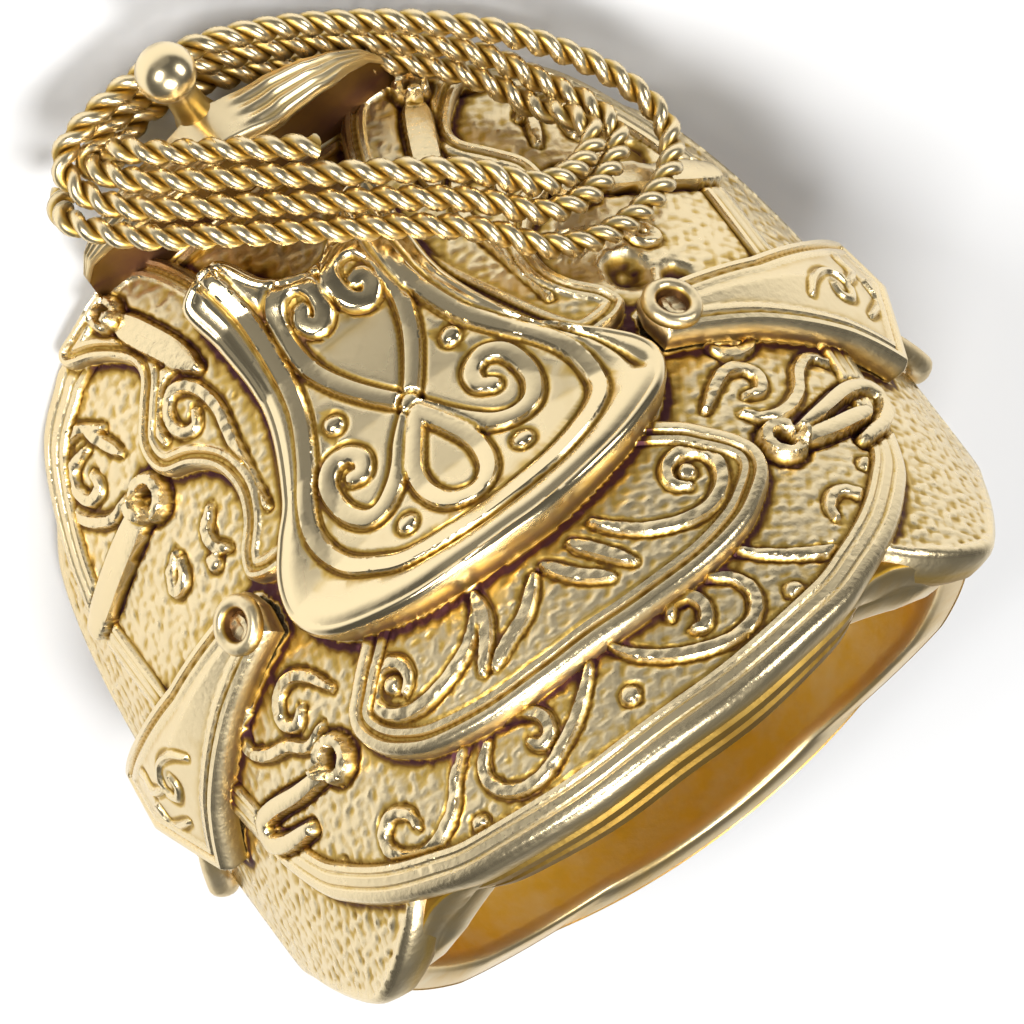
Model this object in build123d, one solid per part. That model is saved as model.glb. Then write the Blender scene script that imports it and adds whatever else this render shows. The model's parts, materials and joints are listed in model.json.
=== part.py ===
from build123d import *
import os
from math import asin, atan2, cos, degrees, pi, radians, sin, sqrt, tan

# A gents' saddle ring: a cast ring whose head is a Western saddle that sits on the finger as on a horse's back.
# It is modelled upright, finger along Y, horn end at +Y, saddle on top at +Z, centre of the bore at the origin.
# Then it is laid on its front, as it rests on a table. All sizes are in millimetres.

# Shank
bore_diameter = 20.2
shank_wall = 1.0
shank_foot_width = 6.2
shank_shoulder_width = 11.0
shoulder_height = -2.3

shank_flare = 1.2

# Saddle layers, whose curves are centred a little below the finger's axis, so that the shoulders stand out
saddle_drop = 0.7
blanket_wall = 1.8
skirt_lift = 0.3
jockey_lift = 0.5
front_reach = 12.4
front_lip_drop = 1.8
front_half_width = 7.5
rear_reach = 12.6
rear_corner_reach = 10.3
rear_half_width = 8.0
skirt_half_width = 10.8
blanket_corner_reach = 10.1
blanket_hem_height = 0.4
blanket_hem_round = 1.2
rear_jockey_reach = 8.6
rear_jockey_half_width = 7.5

# Seat
seat_length_behind = 4.6
seat_front = 7.3
seat_half_width = 6.85
seat_lift = 1.1
cantle_lift = 1.9
cantle_roll = 0.75
seat_step = 0.3

# Fork and horn
fork_setback = 0.1
fork_depth = 1.8
fork_rise = 4.5
fork_foot_lift = 0.9
fork_half_width = 5.6
horn_neck_diameter = 1.05
horn_ball_diameter = 1.9
horn_rise = 3.8

# Relief
border_width = 0.42
border_margin = 0.35
relief_height = 0.2
scroll_width = 0.34
dot_diameter = 0.55

# Fenders, stirrups and their rivets
fender_clearance = 0.15
fender_wall = 0.65
fender_seat_gap = 0.1
fender_top_width = 1.9
fender_hem_front = 4.3
fender_hem_rear = -2.1
stirrup_wall = 0.95
stirrup_bar = 0.6
stirrup_drop = 1.7
rivet_y = 0.45
rivet_from_top = 0.75
rivet_pin_diameter = 0.8
rivet_head_diameter = 1.7
rivet_head_height = 0.4
rivet_depth = 1.3
rivet_clearance = 0.05

# Conchos and saddle strings
concho_diameter = 1.9
concho_height = 0.5
concho_hole_diameter = 0.7
string_width = 0.7
string_height = 0.3

# Lasso
rope_diameter = 0.7
rope_turns = 3

bore_radius = bore_diameter / 2
shank_radius = bore_radius + shank_wall
blanket_radius = shank_radius + blanket_wall
skirt_radius = blanket_radius + skirt_lift
jockey_radius = skirt_radius + jockey_lift
seat_radius = skirt_radius + seat_lift
cantle_radius = skirt_radius + cantle_lift
skirt_top = skirt_radius - saddle_drop
front_lip_height = blanket_radius - saddle_drop - front_lip_drop
fork_front = front_reach - fork_setback
fork_rear = fork_front - fork_depth
fork_height = skirt_top + fork_rise
horn_y = fork_front
horn_height = fork_height + horn_rise
far = 4 * blanket_radius

# The fender's top is cut square to its curve, clear of the seat's widest place, and its rivet sits below the cut
fender_inner_radius = skirt_radius + fender_clearance
fender_bead_radius = fender_inner_radius + fender_wall + 0.6 * relief_height
fender_top_turn = asin((seat_half_width + fender_seat_gap) / fender_inner_radius)
fender_top_height = fender_inner_radius * cos(fender_top_turn) - saddle_drop
fender_cut_height = fender_bead_radius * cos(fender_top_turn) - saddle_drop
rivet_x = skirt_radius * sin(fender_top_turn + rivet_from_top / skirt_radius)

saddle_axis = Plane(origin=(0, 0, -saddle_drop), x_dir=(1, 0, 0), z_dir=(0, 1, 0))
bore_axis = Plane(origin=(0, 0, 0), x_dir=(1, 0, 0), z_dir=(0, 1, 0))


def top_height(radius, x):
    """Height of a saddle layer's surface above the finger's axis, x from its middle."""
    return sqrt(max(radius**2 - x**2, 0)) - saddle_drop


def drum(plane, radius):
    """A long round drum about the finger or about the saddle's own axis."""
    return plane * Cylinder(radius, far)


def plan_prism(face):
    """What lies under and over an outline drawn from above."""
    return extrude(face, far, dir=(0, 0, 1))


def side_prism(face, side=0):
    """What lies beside an outline drawn from the side: right (1), left (-1) or both (0)."""
    if side == 0:
        return extrude(face, far, dir=(1, 0, 0), both=True)
    return extrude(face, far, dir=(side, 0, 0))


def plan_face(points):
    """A face seen from above, its corners given as (x, y)."""
    return make_face(Polyline([(x, y, 0) for x, y in points], close=True))


def side_face(points):
    """A face seen from the side, its corners given as (y, z)."""
    return make_face(Polyline([(0, y, z) for y, z in points], close=True))


def mirrored_outline(half):
    """A closed outline about x = 0 from its right half, which is drawn from rear to front."""
    left = [(-x, y) for x, y in reversed(half) if x > 0]
    return half + left


def ribbon(points, width):
    """A strip of even width with narrow ends along a smooth line seen from above."""
    line = Spline([(x, y, 0) for x, y in points])
    stations = max(6, 2 * len(points))
    sides = {1: [], -1: []}
    for k in range(stations + 1):
        share = k / stations
        here = line @ share
        along = line % share
        half = width / 2 * (0.55 + 0.45 * sin(pi * share) ** 0.5)
        for side in sides:
            sides[side].append((here.X - side * along.Y * half, here.Y + side * along.X * half, 0))
    right = Spline(sides[1])
    left = Spline(sides[-1])
    ends = Line(right @ 0, left @ 0) + Line(right @ 1, left @ 1)
    return make_face(right + left + ends)


def scroll_line(row):
    """Points of a scroll: a spiral out from its eye, then the tail's points."""
    turn = 2 * pi * row["turns"]
    steps = max(4, round(row["turns"] * 8))
    start = radians(row["leaves_at"]) - row["hand"] * turn
    points = []
    for k in range(steps + 1):
        share = k / steps
        radius = row["radius"] * (0.22 + 0.78 * share)
        angle = start + row["hand"] * turn * share
        points.append((row["x"] + radius * cos(angle), row["y"] + radius * sin(angle)))
    return points + row["tail"]


def spread(points, width, reach):
    """Places from above in millimetres, from shares of a half width and of a reach."""
    return [(x * width, y * reach) for x, y in points]


def both_sides(rows, width, reach):
    """Scroll rows in millimetres, from shares of a half width and a reach, each with its mirror image."""
    result = []
    for row in rows:
        for side in (1, -1):
            result.append(dict(
                x=side * row["x"] * width,
                y=row["y"] * reach,
                radius=row["radius"] * width,
                turns=row["turns"],
                leaves_at=row["leaves_at"] if side == 1 else 180 - row["leaves_at"],
                hand=side * row["hand"],
                tail=spread([(side * x, y) for x, y in row["tail"]], width, reach),
            ))
    return result


def scroll(x, y, radius, turns, leaves_at, hand, tail):
    return dict(x=x, y=y, radius=radius, turns=turns, leaves_at=leaves_at, hand=hand, tail=tail)


# Outlines from above, right half, rear to front: shares of the half width and of the reach behind or in front
skirt_rear_half = [
    (0.0, -rear_reach),
    (0.5 * rear_half_width, -rear_reach + 0.24 * (rear_reach - rear_corner_reach)),
    (rear_half_width, -rear_corner_reach),
    (0.92 * skirt_half_width, -0.76 * rear_corner_reach),
    (skirt_half_width, -0.5 * rear_corner_reach),
]
skirt_front_half = [
    (1.1 * skirt_half_width, 0.0),
    (1.1 * skirt_half_width, 0.54 * front_reach),
    (skirt_half_width, 0.74 * front_reach),
    (0.89 * skirt_half_width, 0.89 * front_reach),
    (front_half_width, front_reach),
]
rear_jockey_half = spread([
    (0.0, -1.0),
    (0.24, -0.995),
    (0.52, -0.967),
    (0.77, -0.89),
    (0.93, -0.77),
    (1.0, -0.64),
    (0.97, -0.53),
    (0.88, -0.44),
    (0.69, -0.33),
    (0.0, -0.26),
], rear_jockey_half_width, rear_jockey_reach)
seat_rear_half = spread([
    (0.0, -1.0),
    (0.25, -0.98),
    (0.53, -0.89),
    (0.8, -0.68),
    (0.95, -0.46),
    (1.0, -0.17),
], seat_half_width, seat_length_behind)
seat_front_half = spread([
    (0.97, 0.04),
    (0.85, 0.17),
    (0.69, 0.34),
    (0.58, 0.53),
    (0.53, 0.75),
    (0.51, 1.0),
    (0.48, 1.08),
    (0.28, 1.07),
    (0.0, 0.92),
], seat_half_width, seat_front)
seat_half = seat_rear_half + seat_front_half
front_jockey = spread([
    (0.56, 0.19),
    (0.92, 0.18),
    (0.82, 0.26),
    (0.78, 0.33),
    (0.82, 0.42),
    (0.96, 0.5),
    (1.0, 0.56),
    (0.96, 0.65),
    (0.86, 0.7),
    (0.81, 0.76),
    (0.83, 0.81),
    (0.95, 0.91),
    (1.01, 0.96),
    (0.98, 1.0),
    (0.59, 1.0),
    (0.48, 0.73),
    (0.53, 0.48),
], front_half_width, front_reach)
# Outline of the whole head from the side, (y, z), from the front lip down and round to the rear lip
head_side = [
    (front_reach, far),
    (front_reach, front_lip_height),
    (0.89 * front_reach, 0.79 * front_lip_height),
    (0.81 * front_reach, 0.6 * front_lip_height),
    (0.76 * front_reach, 0.47 * front_lip_height),
    (0.66 * front_reach, 0.35 * front_lip_height),
    (0.47 * front_reach, blanket_hem_height + blanket_hem_round),
    (0.35 * front_reach, blanket_hem_height),
    (-0.35 * rear_reach, blanket_hem_height),
    (-0.47 * rear_reach, blanket_hem_height + blanket_hem_round),
    (-0.66 * rear_reach, 0.35 * front_lip_height),
    (-0.76 * rear_reach, 0.47 * front_lip_height),
    (-0.8 * rear_reach, 0.6 * front_lip_height),
    (-0.84 * rear_reach, 0.85 * front_lip_height),
    (-rear_reach, 0.93 * front_lip_height),
    (-rear_reach, far),
]
# Side of the shank, half width at each height
shank_side = [
    (-shank_radius, shank_foot_width / 2),
    (-0.85 * shank_radius, 1.05 * shank_foot_width / 2),
    (-0.55 * shank_radius, 0.4 * shank_foot_width / 2 + 0.6 * shank_shoulder_width / 2),
    (shoulder_height, shank_shoulder_width / 2),
    (blanket_hem_height + 1.33 * shank_flare, shank_shoulder_width / 2 + shank_flare),
]

# Scrolls and dots: their places as shares of the half width and of the reach of the sheet that carries them
seat_scrolls = both_sides([
    scroll(0.14, 0.82, 0.09, 1.2, 60, -1, [(0.27, 0.685), (0.22, 0.48), (0.035, 0.26), (-0.16, 0.08)]),
    scroll(0.43, 0.075, 0.125, 1.15, 250, -1, [(0.235, -0.055), (0.14, 0.08)]),
], seat_half_width, seat_front)
jockey_scrolls = both_sides([
    scroll(0.72, -0.6, 0.09, 1.2, 280, -1, [(0.47, -0.7), (0.22, -0.6)]),
    scroll(0.22, -0.77, 0.05, 0.9, 80, 1, [(0.12, -0.74), (0.04, -0.8)]),
], rear_jockey_half_width, rear_jockey_reach)
skirt_scrolls = both_sides([
    scroll(0.72, -0.65, 0.06, 1.2, 300, -1, [(0.53, -0.76), (0.46, -0.68)]),
    scroll(0.29, -0.75, 0.05, 1.2, 300, -1, [(0.14, -0.825), (0.04, -0.725)]),
], skirt_half_width, rear_reach)
front_jockey_scrolls = both_sides([
    scroll(0.75, 0.58, 0.08, 1.2, 200, 1, [(0.64, 0.48), (0.67, 0.34), (0.7, 0.25)]),
], front_half_width, front_reach)
seat_dots = spread([(0.32, 0.385), (0.32, -0.22)], seat_half_width, seat_front)
skirt_dots = spread([(0.86, -0.52), (0.56, -0.67)], skirt_half_width, rear_reach)

# Conchos and saddle strings: place of the disc from above, and how far the string runs down the side
concho_rows = [
    dict(
        x=0.74 * skirt_half_width, y=0.53 * front_reach,
        string_end=1.04 * skirt_half_width, string_y=0.52 * front_reach,
    ),
    dict(
        x=0.76 * skirt_half_width, y=-0.365 * rear_reach,
        string_end=1.04 * skirt_half_width, string_y=-0.31 * rear_reach,
    ),
]

# Edges of the fender from the side: shares of the way along Y from its top to its hem, and of its top's height
fender_front_edge = [(0.19, 0.76), (0.53, 0.5), (1.0, 0.14)]
fender_rear_edge = [(1.0, 0.36), (0.58, 0.58), (0.19, 0.85)]
fender_hem_middle = (0.28 * fender_hem_front, 0.23 * fender_top_height)
stirrup_side = [
    (0.77 * fender_hem_front, 0.28 * fender_top_height),
    (0.7 * fender_hem_front, -0.6 * stirrup_drop),
    (0.56 * fender_hem_front, -stirrup_drop),
    (0.33 * fender_hem_rear, -stirrup_drop),
    (0.67 * fender_hem_rear, -0.53 * stirrup_drop),
    (0.57 * fender_hem_rear, 0.36 * fender_top_height),
]

# Lasso route from the horn's place, heights over the fork's top or over the skirt's: the outermost strand at each
# station, the step to the next strand inwards, and how many extra steps lie between those two. The last stations
# of a turn lead to the first, and the rope ends in two places under the other strands.
lasso_rows = [
    dict(at=(3.1, -6.35, 2.4), over=skirt_top, step=(0.47, 0.52, 0.47), gap=0),
    dict(at=(0.9, -5.1, 3.1), over=skirt_top, step=(0.48, 0.52, 0.48), gap=0),
    dict(at=(-1.5, -3.7, -0.6), over=fork_height, step=(0.5, 0.53, 0.46), gap=0),
    dict(at=(-3.7, -2.35, 0.0), over=fork_height, step=(0.58, 0.48, 0.43), gap=0),
    dict(at=(-5.0, -0.7, 0.2), over=fork_height, step=(0.82, 0.2, 0.38), gap=0),
    dict(at=(-4.3, 1.0, 1.02), over=fork_height, step=(0.7, -0.3, -0.58), gap=0),
    dict(at=(-2.1, 1.3, 1.5), over=fork_height, step=(0.3, -0.03, -0.83), gap=0),
    dict(at=(0.6, 1.3, 1.4), over=fork_height, step=(-0.1, -0.08, -0.87), gap=0),
    dict(at=(2.7, 1.0, 0.4), over=fork_height, step=(-0.34, -0.08, -0.8), gap=0),
    dict(at=(4.7, 0.8, -1.4), over=fork_height, step=(-0.35, -0.1, -0.8), gap=0),
    dict(at=(6.9, 0.1, -3.2), over=fork_height, step=(-0.36, -0.1, -0.75), gap=0),
    dict(at=(8.7, -1.2, -4.1), over=fork_height, step=(-0.48, -0.24, -0.7), gap=0),
    dict(at=(10.3, -2.35, -1.65), over=skirt_top, step=(-0.78, -0.3, -0.15), gap=0.4),
    dict(at=(11.35, -3.8, -3.3), over=skirt_top, step=(-0.72, -0.1, 0.52), gap=1.0),
    dict(at=(11.5, -5.25, -4.4), over=skirt_top, step=(-0.6, 0.02, 0.78), gap=1.3),
    dict(at=(10.45, -7.0, -3.65), over=skirt_top, step=(-0.48, 0.34, 0.7), gap=1.2),
    dict(at=(8.3, -8.5, -1.85), over=skirt_top, step=(-0.1, 0.65, 0.62), gap=0.6),
    dict(at=(6.2, -8.6, -0.2), over=skirt_top, step=(0.32, 0.67, 0.53), gap=0.2),
    dict(at=(4.95, -7.45, 1.4), over=skirt_top, step=(0.44, 0.6, 0.5), gap=0),
]
lasso_left_end = 4
lasso_ending = [(-5.1, 0.3, -0.3), (-4.6, 1.0, -0.9)]


def shell(low, high):
    """The space between two drums about the saddle's own axis."""
    return drum(saddle_axis, high) - drum(saddle_axis, low)


def raised(faces, band):
    """Cast ornament: outlines from above, joined into one pattern, and the part of a band under it."""
    pattern = faces[0]
    for face in faces[1:]:
        pattern += face
    return plan_prism(pattern) & band


def relief_band(radius):
    """Where a layer's ornament stands: from a little under the layer's surface to the relief's top."""
    return shell(radius - relief_height, radius + relief_height)


def border(face, margin=border_margin):
    """A bead's outline just inside the edge of a face."""
    return offset(face, -margin) - offset(face, -margin - border_width)


def dot_faces(rows):
    return [Pos(x * side, y, 0) * Circle(dot_diameter / 2) for x, y in rows for side in (1, -1)]


def scroll_faces(rows):
    return [ribbon(scroll_line(row), scroll_width) for row in rows]


def make_shank():
    half = [(width, height) for height, width in shank_side]
    face = side_face(half + [(-y, z) for y, z in reversed(half)])
    return (drum(bore_axis, shank_radius) - drum(bore_axis, bore_radius)) & side_prism(face)


def make_blanket():
    corner = Rectangle(far, 2 * blanket_corner_reach)
    return drum(saddle_axis, blanket_radius) & side_prism(side_face(head_side)) & plan_prism(corner)


def make_skirt():
    """The skirt with its border, scrolls and dots."""
    outline = plan_face(mirrored_outline(skirt_rear_half + skirt_front_half))
    above = side_prism(side_face(head_side))
    body = drum(saddle_axis, skirt_radius) & plan_prism(outline) & above
    rear = outline & Pos(0, -rear_reach, 0) * Rectangle(far, 1.1 * rear_reach)
    faces = [border(rear)] + scroll_faces(skirt_scrolls) + dot_faces(skirt_dots)
    return [body, raised(faces, relief_band(skirt_radius)) & above]


def make_jockeys():
    """The rear jockey and the two front jockeys, each a sheet on the skirt with a border and scrolls."""
    rear = plan_face(mirrored_outline(rear_jockey_half))
    faces = [border(rear)] + scroll_faces(jockey_scrolls) + scroll_faces(front_jockey_scrolls)
    sheet = shell(blanket_radius, jockey_radius)
    pieces = [plan_prism(rear) & sheet]
    for side in (1, -1):
        front = plan_face([(side * x, y) for x, y in front_jockey])
        pieces.append(plan_prism(front) & sheet & side_prism(side_face(head_side)))
        faces.append(border(front))
    return pieces + [raised(faces, relief_band(jockey_radius))]


def seat_profile(extra):
    """The seat's top line over the finger, turned about the saddle's axis, raised by extra."""
    line = [
        (-seat_length_behind, cantle_radius - 0.33 * cantle_roll),
        (-seat_length_behind + cantle_roll, cantle_radius),
        (-seat_length_behind + 2 * cantle_roll, cantle_radius - 0.27 * cantle_roll),
        (-0.3 * seat_length_behind, seat_radius + 0.33 * cantle_roll),
        (0.07 * seat_front, seat_radius),
        (0.55 * seat_front, seat_radius + 0.05 * seat_lift),
        (seat_front, seat_radius + 0.55 * seat_lift),
        (1.22 * seat_front, seat_radius + 1.18 * seat_lift),
    ]
    top = Spline([(0, y, radius + extra - saddle_drop) for y, radius in line])
    base = shank_radius - saddle_drop
    walls = Polyline([top @ 1, (0, line[-1][0], base), (0, line[0][0], base), top @ 0])
    return revolve(make_face(top + walls), Axis((0, 0, -saddle_drop), (0, 1, 0)))


def make_seat():
    """The polished seat: a stepped rolled edge, a bead inside it, and the scroll motif."""
    outline = plan_face(mirrored_outline(seat_half))
    rim = plan_prism(outline) & seat_profile(-seat_step)
    body = plan_prism(offset(outline, -seat_step)) & seat_profile(0)
    faces = [border(outline, 2.1 * border_margin)] + scroll_faces(seat_scrolls) + dot_faces(seat_dots)
    band = seat_profile(relief_height) - seat_profile(-0.5 * seat_step)
    return [rim + body + raised(faces, band)]


def make_fork():
    """The pommel arch, whose arms sweep forward, and the low foot that joins it to the seat."""
    arch_plan = plan_face(mirrored_outline([
        (0.0, fork_rear),
        (0.36 * fork_half_width, fork_rear + 0.06 * fork_depth),
        (0.68 * fork_half_width, fork_rear + 0.34 * fork_depth),
        (0.9 * fork_half_width, fork_rear + 0.72 * fork_depth),
        (0.78 * fork_half_width, fork_front),
    ]))
    foot_plan = plan_face(mirrored_outline([
        (0.0, fork_rear),
        (0.4 * fork_half_width, seat_front + 0.2 * fork_depth),
        (0.75 * fork_half_width, seat_front + 0.4 * fork_depth),
        (0.95 * fork_half_width, fork_rear - 0.4 * fork_depth),
        (fork_half_width, fork_rear + 0.3 * fork_depth),
        (0.78 * fork_half_width, fork_front),
    ]))
    low = top_height(blanket_radius, fork_half_width)
    rise = fork_height - low
    arch = [
        (fork_half_width, low),
        (fork_half_width, low + 0.4 * rise),
        (0.8 * fork_half_width, low + 0.72 * rise),
        (0.42 * fork_half_width, low + 0.94 * rise),
        (0.0, fork_height),
    ]
    crown = Spline([(x, 0, z) for x, z in arch[1:]] + [(-x, 0, z) for x, z in reversed(arch[1:-1])])
    foot = Polyline([crown @ 1, (-fork_half_width, 0, low), (fork_half_width, 0, low), crown @ 0])
    front = extrude(make_face(crown + foot), far, dir=(0, 1, 0))
    side = side_prism(side_face([
        (fork_rear, low),
        (fork_rear, far),
        (fork_front - 0.28 * fork_depth, far),
        (fork_front, fork_height - 0.33 * fork_depth),
        (fork_front, low),
    ]))
    arch = plan_prism(arch_plan) & front & side
    return arch + (plan_prism(foot_plan) & shell(blanket_radius, jockey_radius + fork_foot_lift))


def make_horn():
    ball_z = horn_height - horn_ball_diameter / 2
    foot_z = fork_height - horn_neck_diameter
    neck = Pos(0, horn_y, (ball_z + foot_z) / 2) * Cylinder(horn_neck_diameter / 2, ball_z - foot_z)
    return [neck, Pos(0, horn_y, ball_z) * Sphere(horn_ball_diameter / 2)]


def on_saddle(x, y, radius):
    """A place at this radius from the saddle's axis, over the skirt's point (x, y), its Z pointing out."""
    tilt = degrees(asin(x / skirt_radius))
    return Pos(0, y, -saddle_drop) * Rot(0, tilt, 0) * Pos(0, 0, radius)


def make_conchos():
    """Ringed discs, each with a saddle string down the side."""
    pieces = []
    for row in concho_rows:
        for side in (1, -1):
            place = on_saddle(side * row["x"], row["y"], skirt_radius)
            disc = Cylinder(concho_diameter / 2, 2 * concho_height)
            hole = Pos(0, 0, concho_height) * Cylinder(concho_hole_diameter / 2, concho_height)
            pieces.append(place * (disc - hole))
            half = string_width / 2
            string = plan_face([
                (side * row["x"], row["y"] - half),
                (side * row["string_end"], row["string_y"] - half),
                (side * row["string_end"], row["string_y"] + half),
                (side * row["x"], row["y"] + half),
            ])
            band = shell(blanket_radius - concho_height, skirt_radius + string_height)
            pieces.append(plan_prism(string) & band)
    return pieces


def make_body():
    """The whole casting in one solid, bored through for the finger, with the rivets' sockets."""
    body = make_blanket()
    pieces = make_skirt() + make_jockeys() + make_seat() + [make_fork()] + make_horn() + make_conchos()
    for piece in pieces:
        body += piece
    body -= drum(bore_axis, bore_radius)
    body += make_shank()
    for side in (1, -1):
        socket = Cylinder(rivet_pin_diameter / 2 + rivet_clearance, 2 * (rivet_depth + rivet_clearance))
        clear = skirt_radius + relief_height
        body -= on_saddle(side * rivet_x, rivet_y, clear) * socket
    return body


def make_fender(side):
    """A fender plate with a bordered edge and the stirrup that hangs from its hem."""
    outer = fender_inner_radius + fender_wall
    top_front = rivet_y + fender_top_width / 2
    top_rear = rivet_y - fender_top_width / 2
    front = [(top_front + way * (fender_hem_front - top_front), z) for way, z in fender_front_edge]
    rear = [(top_rear + way * (fender_hem_rear - top_rear), z) for way, z in fender_rear_edge]
    corners = [(top_front, fender_cut_height)] + spread(front, 1, fender_top_height) + [fender_hem_middle]
    corners += spread(rear, 1, fender_top_height) + [(top_rear, fender_cut_height)]
    face = side_face(corners)
    plate = side_prism(face, side) & shell(fender_inner_radius, outer)
    plate += side_prism(border(face, 0.7 * border_margin), side) & shell(fender_inner_radius, fender_bead_radius)
    stirrup = side_face(stirrup_side)
    opening = offset(stirrup, -stirrup_bar)
    plate += side_prism(stirrup - opening, side) & shell(outer - stirrup_wall + fender_wall / 2, outer)
    top_cut = Pos(-side * far / 2, 0, 0) * Box(far, far, far)
    plate -= on_saddle(side * skirt_radius * sin(fender_top_turn), rivet_y, outer) * top_cut
    hole = Cylinder(rivet_pin_diameter / 2 + rivet_clearance, 4 * fender_wall)
    return plate - on_saddle(side * rivet_x, rivet_y, outer) * hole


def make_rivet(side):
    """A pin with a ringed head that holds the fender's top to the casting."""
    under_head = fender_bead_radius + rivet_clearance
    length = under_head - (skirt_radius + relief_height - rivet_depth) + rivet_head_height
    pin = Pos(0, 0, rivet_head_height - length / 2) * Cylinder(rivet_pin_diameter / 2, length)
    head = Pos(0, 0, rivet_head_height / 2) * Cylinder(rivet_head_diameter / 2, rivet_head_height)
    dish = Pos(0, 0, rivet_head_height) * Cylinder(concho_hole_diameter / 2, rivet_head_height)
    return on_saddle(side * rivet_x, rivet_y, under_head) * (pin + head - dish)


def lasso_points():
    """The rope's route: from its free end near the seat, turn by turn, to its end at the left of the horn."""
    points = []
    for turn in range(rope_turns + 1):
        for station, row in enumerate(lasso_rows):
            before_left_end = station <= lasso_left_end
            if (turn == 0 and station == 0) or (turn == rope_turns and not before_left_end):
                continue
            inwards = (rope_turns if before_left_end else rope_turns - 1) - turn
            steps = inwards + (row["gap"] if inwards else 0)
            horn = Vector(0, horn_y, row["over"])
            points.append(horn + Vector(*row["at"]) + steps * Vector(*row["step"]))
    return points + [Vector(0, horn_y, fork_height) + Vector(*place) for place in lasso_ending]


def make_lasso():
    """One rope swept along straight runs joined by tangent arcs, each as large as its runs allow."""
    points = lasso_points()
    radii = []
    for before, here, after in zip(points, points[1:], points[2:]):
        turn = radians((here - before).get_angle(after - here))
        shorter = min((here - before).length, (after - here).length)
        radii.append(0.45 * shorter / max(0.02, tan(turn / 2)))
    route = FilletPolyline(points, radius=radii)
    section = Plane(origin=route @ 0, z_dir=route % 0) * Circle(rope_diameter / 2)
    return sweep(section, path=route)


def lying(shape):
    """Lays the ring on its front, on the shank's front edge and the skirt's front lip, its middle at y = 0."""
    lean = atan2(front_reach - shank_foot_width / 2, front_lip_height + shank_radius)
    turned = Rot(degrees(lean) - 90, 0, 0) * shape
    floor = -shank_radius * sin(lean) - shank_foot_width / 2 * cos(lean)
    ball_radius = horn_ball_diameter / 2
    horn_end = horn_y * sin(lean) + (horn_height - ball_radius) * cos(lean) + ball_radius
    foot_end = -shank_foot_width / 2 * sin(lean) - shank_radius * cos(lean)
    return Pos(0, -(horn_end + foot_end) / 2, -floor) * turned


def main():
    nodes = {
        "ring_body": make_body(),
        "lasso": make_lasso(),
        "fender_left": make_fender(-1),
        "fender_right": make_fender(1),
        "fender_rivet_left": make_rivet(-1),
        "fender_rivet_right": make_rivet(1),
    }
    os.makedirs("parts", exist_ok=True)
    for name, shape in nodes.items():
        export_step(lying(shape), f"parts/{name}.step")


if __name__ == "__main__":
    main()
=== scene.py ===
import json
import math
from dataclasses import dataclass
from functools import lru_cache

import bmesh
import bpy
import numpy as np
from mathutils import Matrix, Vector
from mathutils.geometry import delaunay_2d_cdt


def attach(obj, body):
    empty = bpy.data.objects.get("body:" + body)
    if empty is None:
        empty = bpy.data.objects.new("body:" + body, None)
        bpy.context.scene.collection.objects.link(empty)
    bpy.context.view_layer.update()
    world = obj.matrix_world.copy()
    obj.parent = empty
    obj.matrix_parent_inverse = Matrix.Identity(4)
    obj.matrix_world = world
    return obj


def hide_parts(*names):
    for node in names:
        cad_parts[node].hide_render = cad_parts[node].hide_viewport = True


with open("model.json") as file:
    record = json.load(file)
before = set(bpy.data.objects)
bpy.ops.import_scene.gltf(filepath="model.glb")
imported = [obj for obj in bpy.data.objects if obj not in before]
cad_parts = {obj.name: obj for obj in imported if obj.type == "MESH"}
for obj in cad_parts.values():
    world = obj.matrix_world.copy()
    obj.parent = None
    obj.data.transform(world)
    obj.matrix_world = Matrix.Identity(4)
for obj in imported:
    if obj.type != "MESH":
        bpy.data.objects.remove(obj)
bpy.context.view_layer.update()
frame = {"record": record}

bl_info = {
    "name": "Saddle ring",
    "version": (1, 0, 0),
    "blender": (4, 5, 0),
    "location": "3D View > Sidebar > Saddle ring",
    "description": "Builds a cast gold saddle ring on its CAD frame",
    "category": "Object",
}

# Everything is modelled upright in millimetres: the finger along Y, the horn at +Y, the saddle on top at +Z,
# the centre of the bore at the origin. LAY then lays it on its front, in metres, where the CAD model lies.
BORE = frame["record"]["mounts"][0]
LEAN_SIN = -BORE["axis"][1]
LEAN_COS = BORE["axis"][2]
LAY = Matrix((
    (0.001, 0, 0, BORE["pos_m"][0]),
    (0, 0.001 * LEAN_SIN, 0.001 * LEAN_COS, BORE["pos_m"][1]),
    (0, -0.001 * LEAN_COS, 0.001 * LEAN_SIN, BORE["pos_m"][2]),
    (0, 0, 0, 1),
))

BORE_RADIUS = 10.1
SADDLE_DROP = 0.7
BLANKET_RADIUS = 12.9
SKIRT_RADIUS = 13.2
JOCKEY_RADIUS = 13.7
SEAT_RADIUS = 14.3
FENDER_RADIUS = 14.0
HORN_Y = 12.3
HORN_HEIGHT = 20.8
HORN_BALL = 0.95
SHANK_WALL = 1.0
FORK_HALF = 5.6
FORK_FRONT_Y = 12.28
FORK_GROOVES = 4
RIVET_PLACE = (7.5, 0.45)
CONCHO_RISE = 0.42
CONCHO_DEPTH = 0.55
SLOT_DEPTH = 0.24

# How the sheets are meshed: the closest that two points may lie, the depth under another sheet from which few
# points are kept, and one in how many that is. RIPPLES is the number of waves in the cast ground.
CLOSEST = 0.036
COVERED_DEPTH = 0.5
COVERED_EVERY = 40
RIPPLES = 14

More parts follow.
